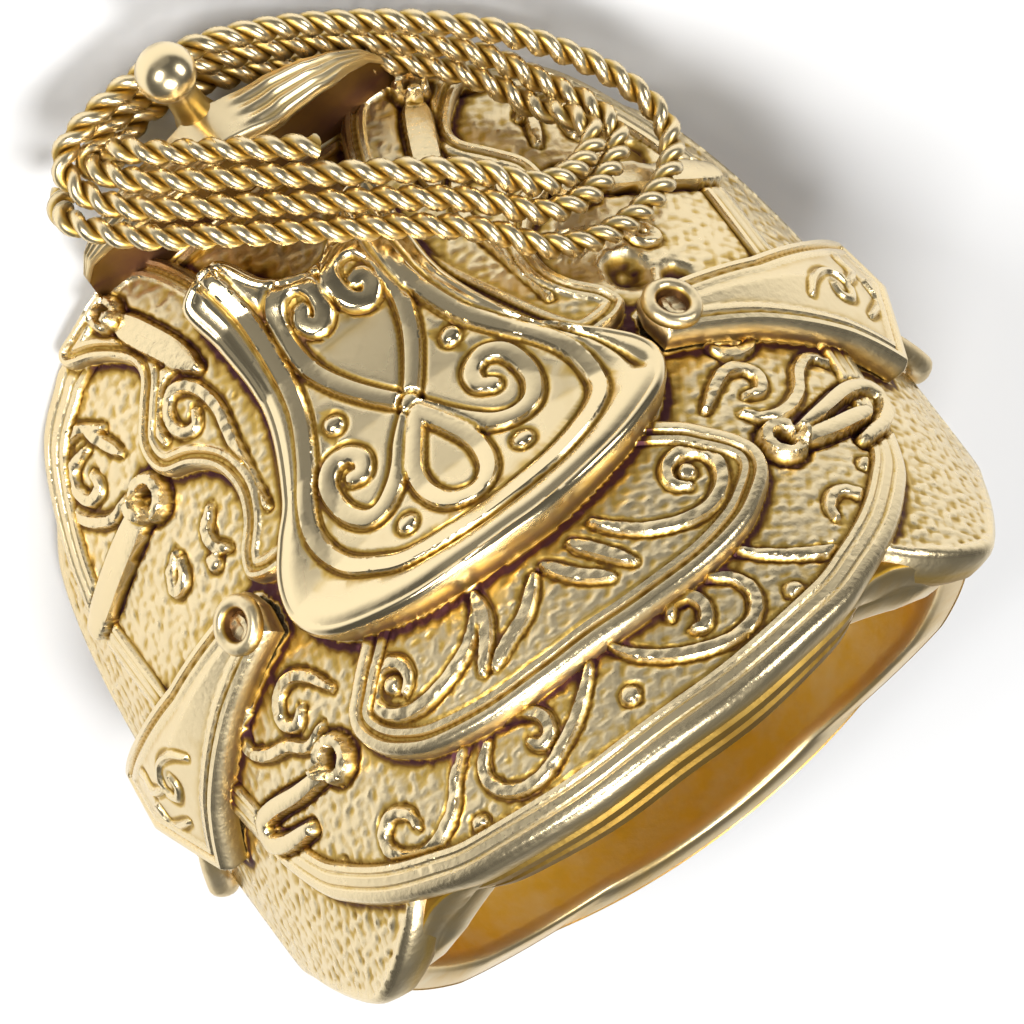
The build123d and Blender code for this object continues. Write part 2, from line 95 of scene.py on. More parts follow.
# Reach of the shank and of the head along the finger, as heights and the reaches there
SHANK_WIDTHS = ([-11.1, -9.43, -6.1, -2.3, 2.0, 2.4], [3.1, 3.25, 4.54, 5.5, 6.7, 6.7])
HEAD_FRONT = ([0.4, 1.6, 3.64, 4.89, 6.24, 8.2, 10.4], [4.34, 5.83, 8.18, 9.42, 10.04, 11.04, 12.4])
HEAD_REAR = ([0.4, 1.6, 3.64, 4.89, 6.24, 8.84, 9.67], [4.41, 5.92, 8.32, 9.58, 10.08, 10.58, 12.6])
# Reach of the casting under the skirt's lips, as distances from the middle and the reaches there
LIP_FRONT = ([0, 6.5, 7.8, 9.0, 10.0], [12.15, 12.15, 12.0, 11.3, 10.5])
LIP_REAR = ([0, 3.3, 6.6, 8.0, 8.6], [12.3, 12.1, 10.95, 10.2, 10.0])
# Crest and rear edge of the fork's arms, as distances from the middle and the heights or places along Y there
FORK_CREST = ([0, 1.2, 2.35, 3.5, 4.48, 5.2, 5.6], [16.9, 16.9, 16.75, 16.2, 15.4, 14.5, 13.4])
FORK_REAR = ([0, 2.0, 3.8, 5.0, 5.6], [10.5, 10.6, 11.12, 11.75, 12.1])

# Outlines from above, (x, y) in millimetres, right half from the rear middle to the front middle
SKIRT_HALF = [
    (0, -12.62), (3.3, -12.42), (6.6, -11.35), (8.1, -10.35), (9.4, -9.1), (10.4, -7.6), (11.0, -6.2),
    (11.5, -3.5), (11.7, 0), (11.75, 6.0), (11.4, 8.0), (10.75, 9.7), (9.75, 11.3), (8.5, 12.0),
    (7.0, 12.36), (0, 12.38),
]
# Deep places beside the front jockey: (x, y), radius and depth
HOLLOWS = [
    ((7.75, 3.0), 1.0, 0.42),
    ((8.9, 2.3), 0.8, 0.35),
    ((10.15, 7.5), 0.95, 0.42),
    ((6.9, 4.6), 0.6, 0.3),
]
REAR_JOCKEY = [
    (0, -8.62), (-1.6, -8.6), (-3.7, -8.33), (-5.6, -7.6), (-6.6, -6.75), (-7.15, -5.9), (-7.35, -5.0),
    (-7.15, -4.3), (-6.6, -3.8), (-5.8, -3.2), (-4, -2.2), (0, -1.6), (4, -2.2), (6.0, -3.1), (6.8, -3.8),
    (7.4, -4.5), (7.65, -5.2), (7.5, -6.0), (6.9, -6.8), (5.9, -7.65), (4.2, -8.33), (1.9, -8.63),
]
FRONT_JOCKEY = [
    (6.9, 2.3), (6.2, 3.05), (5.85, 3.9), (5.95, 4.9), (6.5, 5.7), (7.25, 6.25), (7.5, 6.95), (7.35, 7.8),
    (6.7, 8.6), (6.1, 9.3), (6.2, 10.0), (6.9, 10.9), (7.75, 11.6), (7.7, 12.2), (7.0, 12.36), (4.0, 12.36),
    (2.5, 9.0), (2.5, 6.0), (3.5, 3.5), (5.0, 1.0), (6.3, 0.9), (7.1, 1.5),
]
SEAT = [
    (0, -4.5), (-1.4, -4.42), (-3.4, -4.05), (-5.3, -3.15), (-6.35, -2.25), (-6.8, -1.35), (-6.85, -0.5),
    (-6.5, 0.45), (-5.8, 1.35), (-5.0, 2.2), (-4.1, 3.9), (-3.7, 5.5), (-3.65, 7.3), (-3.6, 8.8), (-2.0, 9.2),
    (-1.2, 7.9), (0, 7.35), (1.2, 7.9), (2.0, 8.6), (3.0, 8.6), (3.1, 7.0), (3.2, 5.4), (3.8, 3.6), (4.6, 2.2),
    (5.5, 1.25), (6.3, 0.5), (6.9, -0.2), (7.1, -0.9), (6.85, -1.7), (6.1, -2.55), (4.3, -3.65), (1.8, -4.42),
]
# Outlines from the side, (y, z)
BLANKET_SIDE = [
    (-8.6, 9.4), (-9.7, 8.6), (-10.1, 7.4), (-10.05, 6.2), (-9.6, 4.95), (-8.3, 3.7), (-5.9, 1.7), (-4.3, 0.5),
    (0, 0.42), (4.3, 0.5), (5.9, 1.7), (8.2, 3.7), (9.4, 4.95), (10.0, 6.2), (10.9, 8.0), (11.2, 9.2),
    (6.0, 8.5), (-3.0, 8.5),
]
FENDER_SIDE = [
    (-0.45, 11.15), (0.45, 11.3), (1.35, 11.15), (1.95, 8.13), (2.94, 5.35), (4.3, 1.5), (1.2, 2.46),
    (-2.1, 3.85), (-1.43, 6.2), (-0.8, 9.1),
]

# Raised straps on the seat: (x, y) along each strap
SEAT_STRAPS = {
    "heart left": [(0.01, 1.76), (-0.69, 2.61), (-1.3, 3.55), (-1.75, 4.56), (-1.87, 5.51), (-1.75, 6.45),
                   (-1.42, 7.0), (-0.93, 7.2), (-0.45, 7.0), (-0.27, 6.49), (-0.45, 5.86), (-0.87, 5.66),
                   (-1.11, 6.02), (-0.93, 6.3)],
    "heart right": [(0.01, 1.76), (0.7, 2.68), (1.28, 3.65), (1.64, 4.62), (1.77, 5.5), (1.74, 6.37),
                    (1.46, 6.95), (0.95, 7.1), (0.46, 6.9), (0.28, 6.32), (0.43, 5.69), (0.86, 5.45),
                    (1.22, 5.72), (1.15, 6.12), (0.9, 6.1)],
    "low left": [(0.04, 1.76), (-0.87, 0.87), (-1.36, 0.23), (-1.9, -0.26), (-2.57, -0.59), (-3.11, -0.49),
                 (-3.5, 0.06), (-3.62, 0.78), (-3.47, 1.42), (-3.02, 1.78), (-2.5, 1.74), (-2.2, 1.3),
                 (-2.4, 0.87), (-2.75, 0.95)],
    "low right": [(-0.02, 1.76), (0.61, 0.72), (1.13, 0.01), (1.74, -0.55), (2.43, -0.74), (3.04, -0.53),
                  (3.41, 0.08), (3.44, 0.78), (3.19, 1.45), (2.59, 1.73), (2.05, 1.42), (2.0, 0.9),
                  (2.35, 0.62)],
    "drop": [(-0.02, 1.3), (-0.69, 0.37), (-1.14, -0.38), (-1.2, -1.07), (-0.95, -1.75), (-0.5, -2.14),
             (0.08, -2.26), (0.58, -2.0), (0.84, -1.44), (0.86, -0.6), (0.52, 0.3), (0.02, 1.3)],
    "border": [(-2.45, 8.9), (-2.35, 7.13), (-2.54, 5.39), (-2.87, 3.86), (-3.53, 2.55), (-4.29, 1.45),
               (-4.71, 0.48), (-4.71, -0.4), (-4.38, -1.23), (-3.68, -1.98), (-2.78, -2.63), (-1.11, -3.04),
               (0.4, -3.13), (2.13, -2.94), (3.35, -2.52), (4.26, -1.99), (4.81, -1.36), (4.96, -0.52),
               (4.78, 0.49), (4.2, 1.5), (3.35, 2.59), (2.74, 3.56), (2.22, 5.26), (2.07, 7), (2.07, 8.6)],
}
SEAT_DOTS = [(-2.26, 2.81), (2.2, 2.86), (-2.23, -1.6), (2.05, -1.65)]
SEAT_SLOTS = {
    "right": [(3.6, 4.4), (4.3, 2.6), (5.17, 1.0), (5.65, 0.3), (6.0, -0.5), (6.2, -1.2)],
    "left": [(-4.0, 8.6), (-4.15, 6.4), (-4.5, 4.2)],
}
REAR_JOCKEY_STRAPS = {
    "spiral left": [(-2.0, -4.7), (-2.32, -5.25), (-3.01, -5.8), (-3.92, -6.09), (-4.82, -6.15), (-5.55, -5.95),
                    (-6.1, -5.45), (-6.25, -4.85), (-5.95, -4.3), (-5.4, -4.15), (-4.95, -4.5), (-4.95, -5.05),
                    (-5.3, -5.35)],
    "spiral right": [(2.2, -5.0), (2.6, -5.5), (3.29, -6.1), (4.27, -6.5), (5.2, -6.5), (5.95, -6.0),
                     (6.3, -5.2), (6.1, -4.55), (5.5, -4.3), (4.95, -4.65), (4.85, -5.2), (5.2, -5.5)],
    "leaf left": [(-1.9, -4.6), (-2.05, -5.4), (-2.5, -6.14), (-3.1, -6.8)],
    "leaf middle": [(-0.14, -5.4), (-1.05, -6.25), (-1.95, -6.6), (-2.7, -6.95)],
    "leaf right": [(0.26, -5.3), (0.86, -6.2), (1.7, -6.95)],
    "leaf far": [(1.3, -5.2), (1.8, -5.9), (2.5, -6.9)],
}
FRONT_JOCKEY_STRAPS = {
    "scroll": [(5.3, 2.7), (5.15, 3.9), (4.95, 5.2), (4.72, 6.38), (4.85, 7.29), (5.21, 7.85), (5.69, 7.95),
               (6.06, 7.6), (6.15, 7.1), (5.95, 6.65), (5.55, 6.55), (5.33, 6.9)],
    "hook": [(4.75, 8.35), (5.4, 8.6), (6.0, 8.3), (6.5, 7.7), (6.62, 7.0)],
    "top": [(7.3, 11.9), (6.5, 11.3), (5.9, 10.4), (5.7, 9.5)],
}
POMMEL_STRAP = [(5.65, 11.3), (5.3, 10.3), (4.9, 9.2), (4.5, 7.9)]
POMMEL_RING = (5.75, 11.6)
JOCKEY_DOTS = [(-5.5, -4.85), (5.4, -5.0)]
SKIRT_STRAPS = {
    "leaf left": [(-0.25, -8.5), (-0.89, -9.19), (-1.64, -9.8), (-2.4, -10.2), (-3.31, -10.5), (-4.1, -10.42),
                  (-4.68, -9.95), (-4.9, -9.28), (-4.7, -8.75), (-4.25, -8.4)],
    "leaf right": [(0.35, -8.5), (0.84, -9.3), (1.54, -9.93), (2.3, -10.35), (3.21, -10.6), (4.1, -10.5),
                   (4.65, -10.0), (4.82, -9.35), (4.55, -8.75), (4.0, -8.4)],
    "eye left": [(-3.46, -8.25), (-2.8, -8.5), (-2.42, -9.1), (-2.6, -9.65), (-3.0, -9.7), (-3.2, -9.35)],
    "eye right": [(2.36, -8.95), (2.66, -8.55), (3.21, -8.65), (3.38, -9.2), (3.1, -9.72), (2.7, -9.7)],
    "far left": [(-4.9, -7.9), (-5.57, -8.32), (-6.17, -8.95), (-6.92, -9.25), (-7.6, -9.2), (-8.2, -8.7),
                 (-8.5, -8.0), (-8.3, -7.45), (-7.8, -7.38), (-7.4, -7.85), (-7.4, -8.35)],
    "far right": [(5.19, -8.0), (5.8, -8.5), (6.72, -9.0), (7.6, -9.25), (8.3, -9.15), (8.95, -8.6),
                  (9.3, -7.85), (9.1, -7.3), (8.65, -7.15), (8.25, -7.6), (8.2, -8.1)],
    "edge scroll right": [(7.0, -2.9), (7.63, -2.2), (8.19, -1.73), (8.65, -1.75), (8.92, -2.21), (8.7, -2.75),
                          (8.25, -2.8)],
    "edge wave right": [(7.85, -3.4), (8.2, -3.75), (8.6, -3.8), (9.1, -3.6), (9.63, -3.03), (10.0, -2.24),
                        (10.5, -1.7), (10.9, -2.0)],
    "edge curl right": [(8.25, -0.6), (8.45, -1.0), (8.8, -1.15), (9.26, -0.95), (9.57, -0.37)],
    "edge scroll left": [(-7.0, -2.9), (-7.4, -1.9), (-7.9, -1.4), (-8.5, -1.5), (-8.8, -2.1), (-8.5, -2.6),
                         (-8.1, -2.4)],
    "edge wave left": [(-7.9, -3.4), (-8.6, -3.4), (-9.1, -2.7), (-9.7, -2.2), (-10.1, -1.5), (-9.9, -0.8),
                       (-9.4, -0.7)],
    "flank left": [(-6.7, 4.6), (-7.2, 4.2), (-7.3, 3.6), (-7.0, 3.2)],
}
# Straps that the skirt has alike on both sides
SKIRT_PAIRS = {
    "medallion": [(7.9, 9.6), (8.6, 10.4), (9.35, 10.5), (9.95, 10.0), (10.15, 9.2), (9.9, 8.3), (9.3, 7.5),
                  (8.6, 7.4)],
    "medallion eye": [(8.7, 9.7), (9.35, 9.8), (9.65, 9.3), (9.5, 8.6), (9.05, 8.5), (8.95, 9.0)],
    "stem": [(8.35, 10.0), (8.15, 9.3), (7.9, 8.5)],
    "leaf low": [(8.36, 4.7), (8.85, 4.4), (9.05, 3.95), (8.65, 3.9), (8.36, 4.4)],
}
SKIRT_DOTS = [(-5.87, -10.1), (0.02, -10.35), (5.85, -10.05), (-9.95, -6.75), (9.95, -6.3), (-7.6, 3.3)]
FENDER_STRAPS = {
    "curl": [(0.2, 6.9), (0.9, 6.4), (1.3, 5.6), (0.9, 5.0), (0.3, 5.1), (0.3, 5.6), (0.7, 5.7)],
    "stem": [(0.9, 4.9), (1.5, 4.2), (2.2, 4.1), (2.9, 3.6)],
    "loop": [(1.2, 3.9), (0.6, 3.6), (0.2, 3.9), (-0.3, 4.6)],
}
# Saddle strings: a ringed concho and the strap that runs from it down the side
CONCHOS = [(-7.95, 6.6), (7.95, 6.6), (-8.15, -4.5), (8.25, -4.9)]
STRINGS = {
    "front left": ([(-8.3, 6.55), (-9.5, 6.45), (-10.7, 6.4), (-11.6, 6.5)], 0.5),
    "front right": ([(8.3, 6.55), (9.5, 6.45), (10.7, 6.4), (11.6, 6.5)], 0.5),
    "rear left": ([(-8.7, -4.45), (-9.6, -4.0), (-10.5, -3.3), (-11.0, -3.1), (-11.15, -3.7), (-10.7, -4.4),
                   (-10.0, -4.95)], 0.3),
    "rear right top": ([(8.9, -4.6), (9.8, -4.0), (10.7, -3.3), (11.3, -3.1), (11.5, -3.7), (11.1, -4.6),
                        (10.3, -5.35)], 0.26),
    "rear right flat": ([(8.8, -5.05), (9.8, -4.75), (10.8, -4.25)], 0.3),
}

# Lasso route, as in the CAD source: the outermost strand at each station, the step to the next strand
# inwards, and how many extra steps lie between those two
LASSO = [
    ((3.1, 5.95, 14.9), (0.47, 0.52, 0.47), 0),
    ((0.9, 7.2, 15.6), (0.48, 0.52, 0.48), 0),
    ((-1.5, 8.6, 16.4), (0.5, 0.53, 0.46), 0),
    ((-3.7, 9.95, 17.0), (0.58, 0.48, 0.43), 0),
    ((-5.0, 11.6, 17.2), (0.82, 0.2, 0.38), 0),
    ((-4.3, 13.3, 18.02), (0.7, -0.3, -0.58), 0),
    ((-2.1, 13.6, 18.5), (0.3, -0.03, -0.83), 0),
    ((0.6, 13.6, 18.4), (-0.1, -0.08, -0.87), 0),
    ((2.7, 13.3, 17.4), (-0.34, -0.08, -0.8), 0),
    ((4.7, 13.1, 15.6), (-0.35, -0.1, -0.8), 0),
    ((6.9, 12.4, 13.8), (-0.36, -0.1, -0.75), 0),
    ((8.7, 11.1, 12.9), (-0.48, -0.24, -0.7), 0),
    ((10.3, 9.95, 10.85), (-0.78, -0.3, -0.15), 0.4),
    ((11.35, 8.5, 9.2), (-0.72, -0.1, 0.52), 1.0),
    ((11.5, 7.05, 8.1), (-0.6, 0.02, 0.78), 1.3),
    ((10.45, 5.3, 8.85), (-0.48, 0.34, 0.7), 1.2),
    ((8.3, 3.8, 10.65), (-0.1, 0.65, 0.62), 0.6),
    ((6.2, 3.7, 12.3), (0.32, 0.67, 0.53), 0.2),
    ((4.95, 4.85, 13.9), (0.44, 0.6, 0.5), 0),
]
LASSO_ENDING = [(-5.1, 12.6, 16.7), (-4.6, 13.3, 16.1)]
LASSO_LEFT_END = 4
LASSO_TURNS = 3
ROPE_SPACING = 0.085
STRAND_SIDES = 9

# The stage: what the camera and the lamps look at, upright in millimetres, and their distances in metres.
# Each lamp has its direction, its width in metres and its power in watts.
VIEW_TARGET = (0.547, -0.28, 8.0)
VIEW_DISTANCE = 0.5172
VIEW_LENS = 600
LAMP_DISTANCE = 0.22
LAMPS = {
    "key": ((-0.45, 0.6, 0.66), 0.1, 0.42),
    "fill": ((0.77, 0.08, 0.62), 0.12, 0.22),
    "top": ((-0.2, -0.17, 0.97), 0.12, 0.5),
    "front": ((0.12, 1.0, 0.12), 0.24, 0.019),
}


def colour(name, description, default):
    """A setting that is a colour."""
    return bpy.props.FloatVectorProperty(
        name=name, description=description, subtype="COLOR", size=3, min=0, max=1, default=default)


def number(name, description, default, low, high):
    """A setting that is a number, between two limits."""
    return bpy.props.FloatProperty(name=name, description=description, default=default, min=low, max=high)


class RingSettings(bpy.types.PropertyGroup):
    """Sizes and colours of the ring."""

    gold: colour("Gold", "Colour of the polished metal", (0.83, 0.68, 0.41))
    # Painted shade and reflected light: the lower ground goes to this warmer, darker gold.
    warm_shaded_gold: colour("Warm gold", "Colour of the metal on the lower ground", (0.62, 0.42, 0.11))
    # The bore's deep orange is painted shade and reflected light.
    bore_shaded_gold: colour("Bore", "Colour of the unpolished bore", (0.78, 0.46, 0.05))
    # The recess colour is partly dark oxide and partly painted shade.
    patina_and_shade: colour("Patina", "Colour in the recesses", (0.24, 0.13, 0.02))
    relief: number("Relief", "Height of the raised straps, in millimetres", 0.17, 0.02, 0.5)
    rope_diameter: number("Rope", "Thickness of the lasso's rope, in millimetres", 0.86, 0.3, 1.0)
    rope_lay: number("Lay", "Length of one twist of the rope, in millimetres", 1.65, 0.8, 5)
    light: number("Light", "Strength of the studio lights", 1.0, 0, 10)


def smooth_line(points, closed=False, steps=6):
    """Points along a smooth line through the given ones."""
    p = np.array(points, float)
    if closed:
        p = np.vstack([p[-1], p, p[:2]])
    else:
        p = np.vstack([2 * p[0] - p[1], p, 2 * p[-1] - p[-2]])
    t = np.linspace(0, 1, steps, endpoint=False)[:, None]
    parts = []
    for a, b, c, d in zip(p, p[1:], p[2:], p[3:]):
        bend = 2 * a - 5 * b + 4 * c - d
        swing = 3 * b - a - 3 * c + d
        parts.append(0.5 * (2 * b + (c - a) * t + bend * t**2 + swing * t**3))
    line = np.vstack(parts)
    return line if closed else np.vstack([line, p[-2]])


def arc_of(points, radius):
    """Plan places (x, y) on a drum about the saddle's axis, as lengths along the skirt's curve and along Y."""
    p = np.array(points, float)
    return np.column_stack([SKIRT_RADIUS * np.arcsin(np.clip(p[:, 0] / radius, -1, 1)), p[:, 1]])


def arc_of_side(points, radius, side):
    """Side places (y, z) on a drum about the saddle's axis, as arc places."""
    p = np.array(points, float)
    turn = np.arccos(np.clip((p[:, 1] + SADDLE_DROP) / radius, -1, 1))
    return np.column_stack([side * SKIRT_RADIUS * turn, p[:, 0]])


def line_distance(places, line, reach):
    """Distance of each place to a line, and how far along the line its nearest point lies, from 0 to 1."""
    far = np.full(len(places), reach * 4.0)
    share = np.zeros(len(places))
    low = line.min(axis=0) - reach
    high = line.max(axis=0) + reach
    near = np.flatnonzero(((places > low) & (places < high)).all(axis=1))
    here = places[near]
    best = far[near]
    where = share[near]
    count = len(line) - 1
    for k in range(count):
        a = line[k]
        run = line[k + 1] - a
        t = np.clip(((here - a) @ run) / max(run @ run, 1e-12), 0, 1)
        d = np.hypot(here[:, 0] - a[0] - t * run[0], here[:, 1] - a[1] - t * run[1])
        closer = d < best
        best[closer] = d[closer]
        where[closer] = (k + t[closer]) / count
    far[near] = best
    share[near] = where
    return far, share


def inside_depth(places, outline):
    """Distance of each place to a closed outline, positive inside it."""
    best = np.full(len(places), 1e9)
    inside = np.zeros(len(places), bool)
    x, y = places[:, 0], places[:, 1]
    for a, b in zip(outline, np.roll(outline, -1, axis=0)):
        run = b - a
        t = np.clip(((x - a[0]) * run[0] + (y - a[1]) * run[1]) / max(run @ run, 1e-12), 0, 1)
        best = np.minimum(best, np.hypot(x - (a[0] + t * run[0]), y - (a[1] + t * run[1])))
        crosses = (a[1] > y) != (b[1] > y)
        if run[1] != 0:
            inside ^= crosses & (x < a[0] + (y - a[1]) * run[0] / run[1])
    return np.where(inside, best, -best)


def bump(share):
    """A soft step from 0 to 1."""
    s = np.clip(share, 0, 1)
    return s * s * (3 - 2 * s)


def distance_to(places, centre):
    return np.hypot(places[:, 0] - centre[0], places[:, 1] - centre[1])


def add_dot(height, places, centre, radius, rise):
    """A raised dot in a fine groove."""
    d = distance_to(places, centre)
    height += rise * np.sqrt(np.clip(1 - (d / radius) ** 2, 0, 1))
    height -= 0.07 * np.exp(-((d - radius - 0.09) / 0.08) ** 2)


def add_ring(height, places, centre, radius, rise, depth):
    """A concho: a raised ring with a hollow middle."""
    d = distance_to(places, centre)
    height += rise * bump((radius - d) / 0.16 + 0.5)
    height -= depth * bump((0.42 * radius - d) / 0.16 + 0.5)
    height -= 0.08 * np.exp(-((d - radius - 0.12) / 0.1) ** 2)


def ripple(places, size, seed):
    """Smooth irregular waves between -1 and 1, as in a wax that was worked by hand."""
    rng = np.random.default_rng(seed)
    total = np.zeros(len(places))
    for _ in range(RIPPLES):
        way = rng.uniform(0, 2 * math.pi)
        length = size * rng.uniform(0.7, 1.6)
        phase = rng.uniform(0, 2 * math.pi)
        across = places[:, 0] * math.cos(way) + places[:, 1] * math.sin(way)
        total += np.sin(2 * math.pi * across / length + phase)
    return 2 * total / RIPPLES


def mirrored(half):
    """A whole outline from its right half."""
    return half + [(-x, y) for x, y in reversed(half) if x > 0]


def both_sides(table):
    """The lines of a table, each as it lies on the left and as it lies on the right."""
    return {(name, side): [(side * x, y) for x, y in line]
            for name, line in table.items() for side in (-1, 1)}


def with_size(places, radius, size):
    """Plan places as arc places, all with one size."""
    return [(centre, size) for centre in arc_of(places, radius)]


def seat_radius_at(y):
    stations = [-5.0, -4.2, -3.0, -1.0, 2.0, 5.0, 7.3, 8.5, 10.0]
    radii = [14.85, 15.0, 14.75, 14.4, 14.25, 14.35, 14.9, 15.4, 16.0]
    return np.interp(y, stations, radii)


def even_line(points, spacing, closed=False):
    """The same line with its points at even spacing."""
    p = np.vstack([points, points[:1]]) if closed else np.asarray(points)
    lengths = np.concatenate([[0], np.cumsum(np.hypot(*np.diff(p, axis=0).T))])
    count = max(3, int(round(lengths[-1] / spacing)) + (0 if closed else 1))
    at = np.linspace(0, lengths[-1], count, endpoint=not closed)
    return np.column_stack([np.interp(at, lengths, p[:, k]) for k in (0, 1)])


@dataclass
class Strap:
    """A raised strap: its smooth line, half its width, its height as a share of the relief, and its groove."""

    line: np.ndarray
    half_width: float
    rise: float
    groove: float = 0.06
    taper: float = 0.5

    def __post_init__(self):
        self.line = smooth_line(self.line)

    def width_at(self, share):
        return self.half_width * (1 - self.taper * (2 * np.abs(share - 0.5)) ** 4)

    def add_to(self, height, places):
        """Raises the strap out of the height, with a crowned top and a fine groove along each side."""
        d, share = line_distance(places, self.line, 3 * self.half_width + 0.3)
        width = self.width_at(share)
        step = bump((width - d) / 0.11 + 0.5)
        crown = 0.72 + 0.28 * np.sqrt(np.clip(1 - (d / width) ** 2, 0, 1))
        top = settings().relief * self.rise * step * crown
        cut = self.groove * np.exp(-((d - width - 0.09) / 0.075) ** 2)
        height += np.maximum(top - height * step, 0) - cut * (d > width)

    def mesh_rows(self, spacing):
        """Rows of places along the strap, so that its edges and its groove stay clean in the mesh."""
        line = even_line(self.line, spacing)
        along = np.gradient(line, axis=0)
        along /= np.maximum(np.hypot(*along.T), 1e-9)[:, None]
        across = np.column_stack([-along[:, 1], along[:, 0]])
        width = self.width_at(np.linspace(0, 1, len(line)))
        rows = [line]
        for share, shift in ((0.55, 0), (1, -0.055), (1, 0), (1, 0.055), (1, 0.115), (1, 0.19)):
            reach = (share * width + shift)[:, None] * across
            rows += [line + reach, line - reach]
        return np.vstack(rows)


def straps(table, radius, half_width, rise=1.0, groove=0.06, taper=0.5):
    return [Strap(arc_of(line, radius), half_width, rise, groove, taper) for line in table.values()]


@dataclass
class Layer:
    """One sheet of the saddle: its outline, its height over the saddle's axis, its rim and its ornament.

    The rim is a table of depths inside the outline and the rises there, and the wall one of insets and drops.
    The field is how deep the ornament starts, and cell the size of the ground's triangles.
    """

    outline: np.ndarray
    radius: object
    rim: tuple
    wall: list
    cell: float
    field: float = 0.0
    grain: float = 0.0
    ornament: list = ()
    bands: list = ()
    dots: list = ()
    rings: list = ()
    slots: list = ()
    covered: list = ()
    hollows: list = ()

    def __post_init__(self):
        x, y = self.outline.T
        if np.sum(x * np.roll(y, -1) - np.roll(x, -1) * y) < 0:
            self.outline = self.outline[::-1]

    def surface(self, places, depth):
        """The radius of the sheet's top at places this deep inside its outline."""
        height = np.zeros(len(places))
        for strap in self.ornament:
            strap.add_to(height, places)
        for centre, size in self.dots:
            add_dot(height, places, centre, size, settings().relief)
        height += self.grain * ripple(places, 0.42, 5)
        if self.field:
            height *= bump((depth - self.field) / 0.16)
        height += np.interp(depth, *self.rim)
        for strap in self.bands:
            strap.add_to(height, places)
        for centre, size in self.rings:
            add_ring(height, places, centre, size, CONCHO_RISE, CONCHO_DEPTH)
        for line in self.slots:
            d, share = line_distance(places, line, 1.0)
            height -= SLOT_DEPTH * np.exp(-(d / (0.1 + 0.12 * share**6)) ** 2)
        for centre, size, sunk in self.hollows:
            height -= sunk * bump(1.4 * (1 - distance_to(places, centre) / size))
        return self.radius(places) + height if callable(self.radius) else self.radius + height

    def rim_rows(self, edge, normal):
        """Rows of places along the rim, one at each depth of its table, left out where they would cross."""
        rows = []
        for depth in self.rim[0][1:]:
            row = edge + depth * normal
            rows.append(row[np.abs(inside_depth(row, edge) - depth) < 0.03])
        return rows

    def mark_rows(self):
        """Places along the straps and slots and round the dots and rings."""
        marks = [strap.mesh_rows(0.085) for strap in (*self.ornament, *self.bands)]
        for centre, size in (*self.dots, *self.rings):
            turn = np.linspace(0, 2 * math.pi, 24, endpoint=False)
            spokes = np.column_stack([np.cos(turn), np.sin(turn)])
            marks += [centre + size * share * spokes for share in (0.3, 0.42, 0.55, 0.75, 0.9, 1.0, 1.12, 1.3)]
        for line in self.slots:
            middle = even_line(line, 0.06)
            beside = inward_normals(middle)[1:-1]
            shifts = (-0.2, -0.12, -0.06, 0.06, 0.12, 0.2)
            marks += [middle] + [middle[1:-1] + shift * beside for shift in shifts]
        return marks

    def ground_places(self, edge):
        """An even ground inside the rim, left out beside the straps, whose own rows are finer."""
        ground = hexagons(edge.min(axis=0), edge.max(axis=0), self.cell)
        ground = ground[inside_depth(ground, edge) > self.rim[0][-1] + 0.3 * self.cell]
        for strap in (*self.ornament, *self.bands):
            d, share = line_distance(ground, strap.line, 1.0)
            beside = (share > 0.02) & (share < 0.98)
            ground = ground[(d > strap.width_at(share) + 0.22) | ~beside]
        return ground

    def mesh_places(self):
        """The places of the sheet's mesh: its outline first, and then all that lies inside it."""
        edge = even_line(self.outline, 0.08, closed=True)
        normal = inward_normals(edge)
        inner = np.vstack([*self.rim_rows(edge, normal), *self.mark_rows(), self.ground_places(edge)])
        inner = inner[inside_depth(inner, edge) > 0.03]
        for name in self.covered:
            hidden = inside_depth(inner, LAYERS[name].outline) >= COVERED_DEPTH
            kept = np.arange(len(inner)) % COVERED_EVERY == 0
            inner = inner[~hidden | kept]
        cells = np.round(inner / CLOSEST).astype(int)
        _, first = np.unique(cells, axis=0, return_index=True)
        return edge, normal, inner[np.sort(first)]


def inward_normals(edge):
    """The normals of a closed outline that runs anticlockwise, pointing into it."""
    along = np.roll(edge, -1, axis=0) - np.roll(edge, 1, axis=0)
    along /= np.maximum(np.hypot(*along.T), 1e-9)[:, None]
    return np.column_stack([-along[:, 1], along[:, 0]])


def hexagons(low, high, cell):
    """An even triangular pattern of places between two corners."""
    across = np.arange(low[0], high[0], cell)
    ahead = np.arange(low[1], high[1], cell * 0.866)
    grid = np.stack(np.meshgrid(across, ahead, indexing="ij"), axis=-1)
    grid[:, 1::2, 0] += cell / 2
    return grid.reshape(-1, 2)


def fender_crown(side):
    """The fender's gently folded face: highest along its middle line."""
    middle = arc_of_side([(0.45, 10.7), (1.4, 2.0)], FENDER_RADIUS, side)
    if side < 0:
        middle = middle[::-1]

    def radius(places):
        across = np.abs(places[:, 1] - np.interp(places[:, 0], middle[:, 0], middle[:, 1]))
        return FENDER_RADIUS + 0.22 - 0.16 * across
    return radius


def fender_layer(side):
    outline = even_line(arc_of_side(FENDER_SIDE, FENDER_RADIUS, side), 0.2, closed=True)
    lines = [arc_of_side(line, FENDER_RADIUS, side) for line in FENDER_STRAPS.values()]
    ornament = [Strap(line, 0.12, 0.6, 0.045) for line in lines]
    rim = ([0, 0.06, 0.16, 0.32, 0.4, 0.48, 0.56, 0.72, 0.8],
           [-0.2, -0.04, 0.1, 0.1, -0.05, -0.05, 0.06, 0.06, 0])
    wall = [(0.02, 0.25), (0.1, 0.6)]
    return Layer(outline, fender_crown(side), rim, wall, cell=0.075, field=0.78, ornament=ornament)


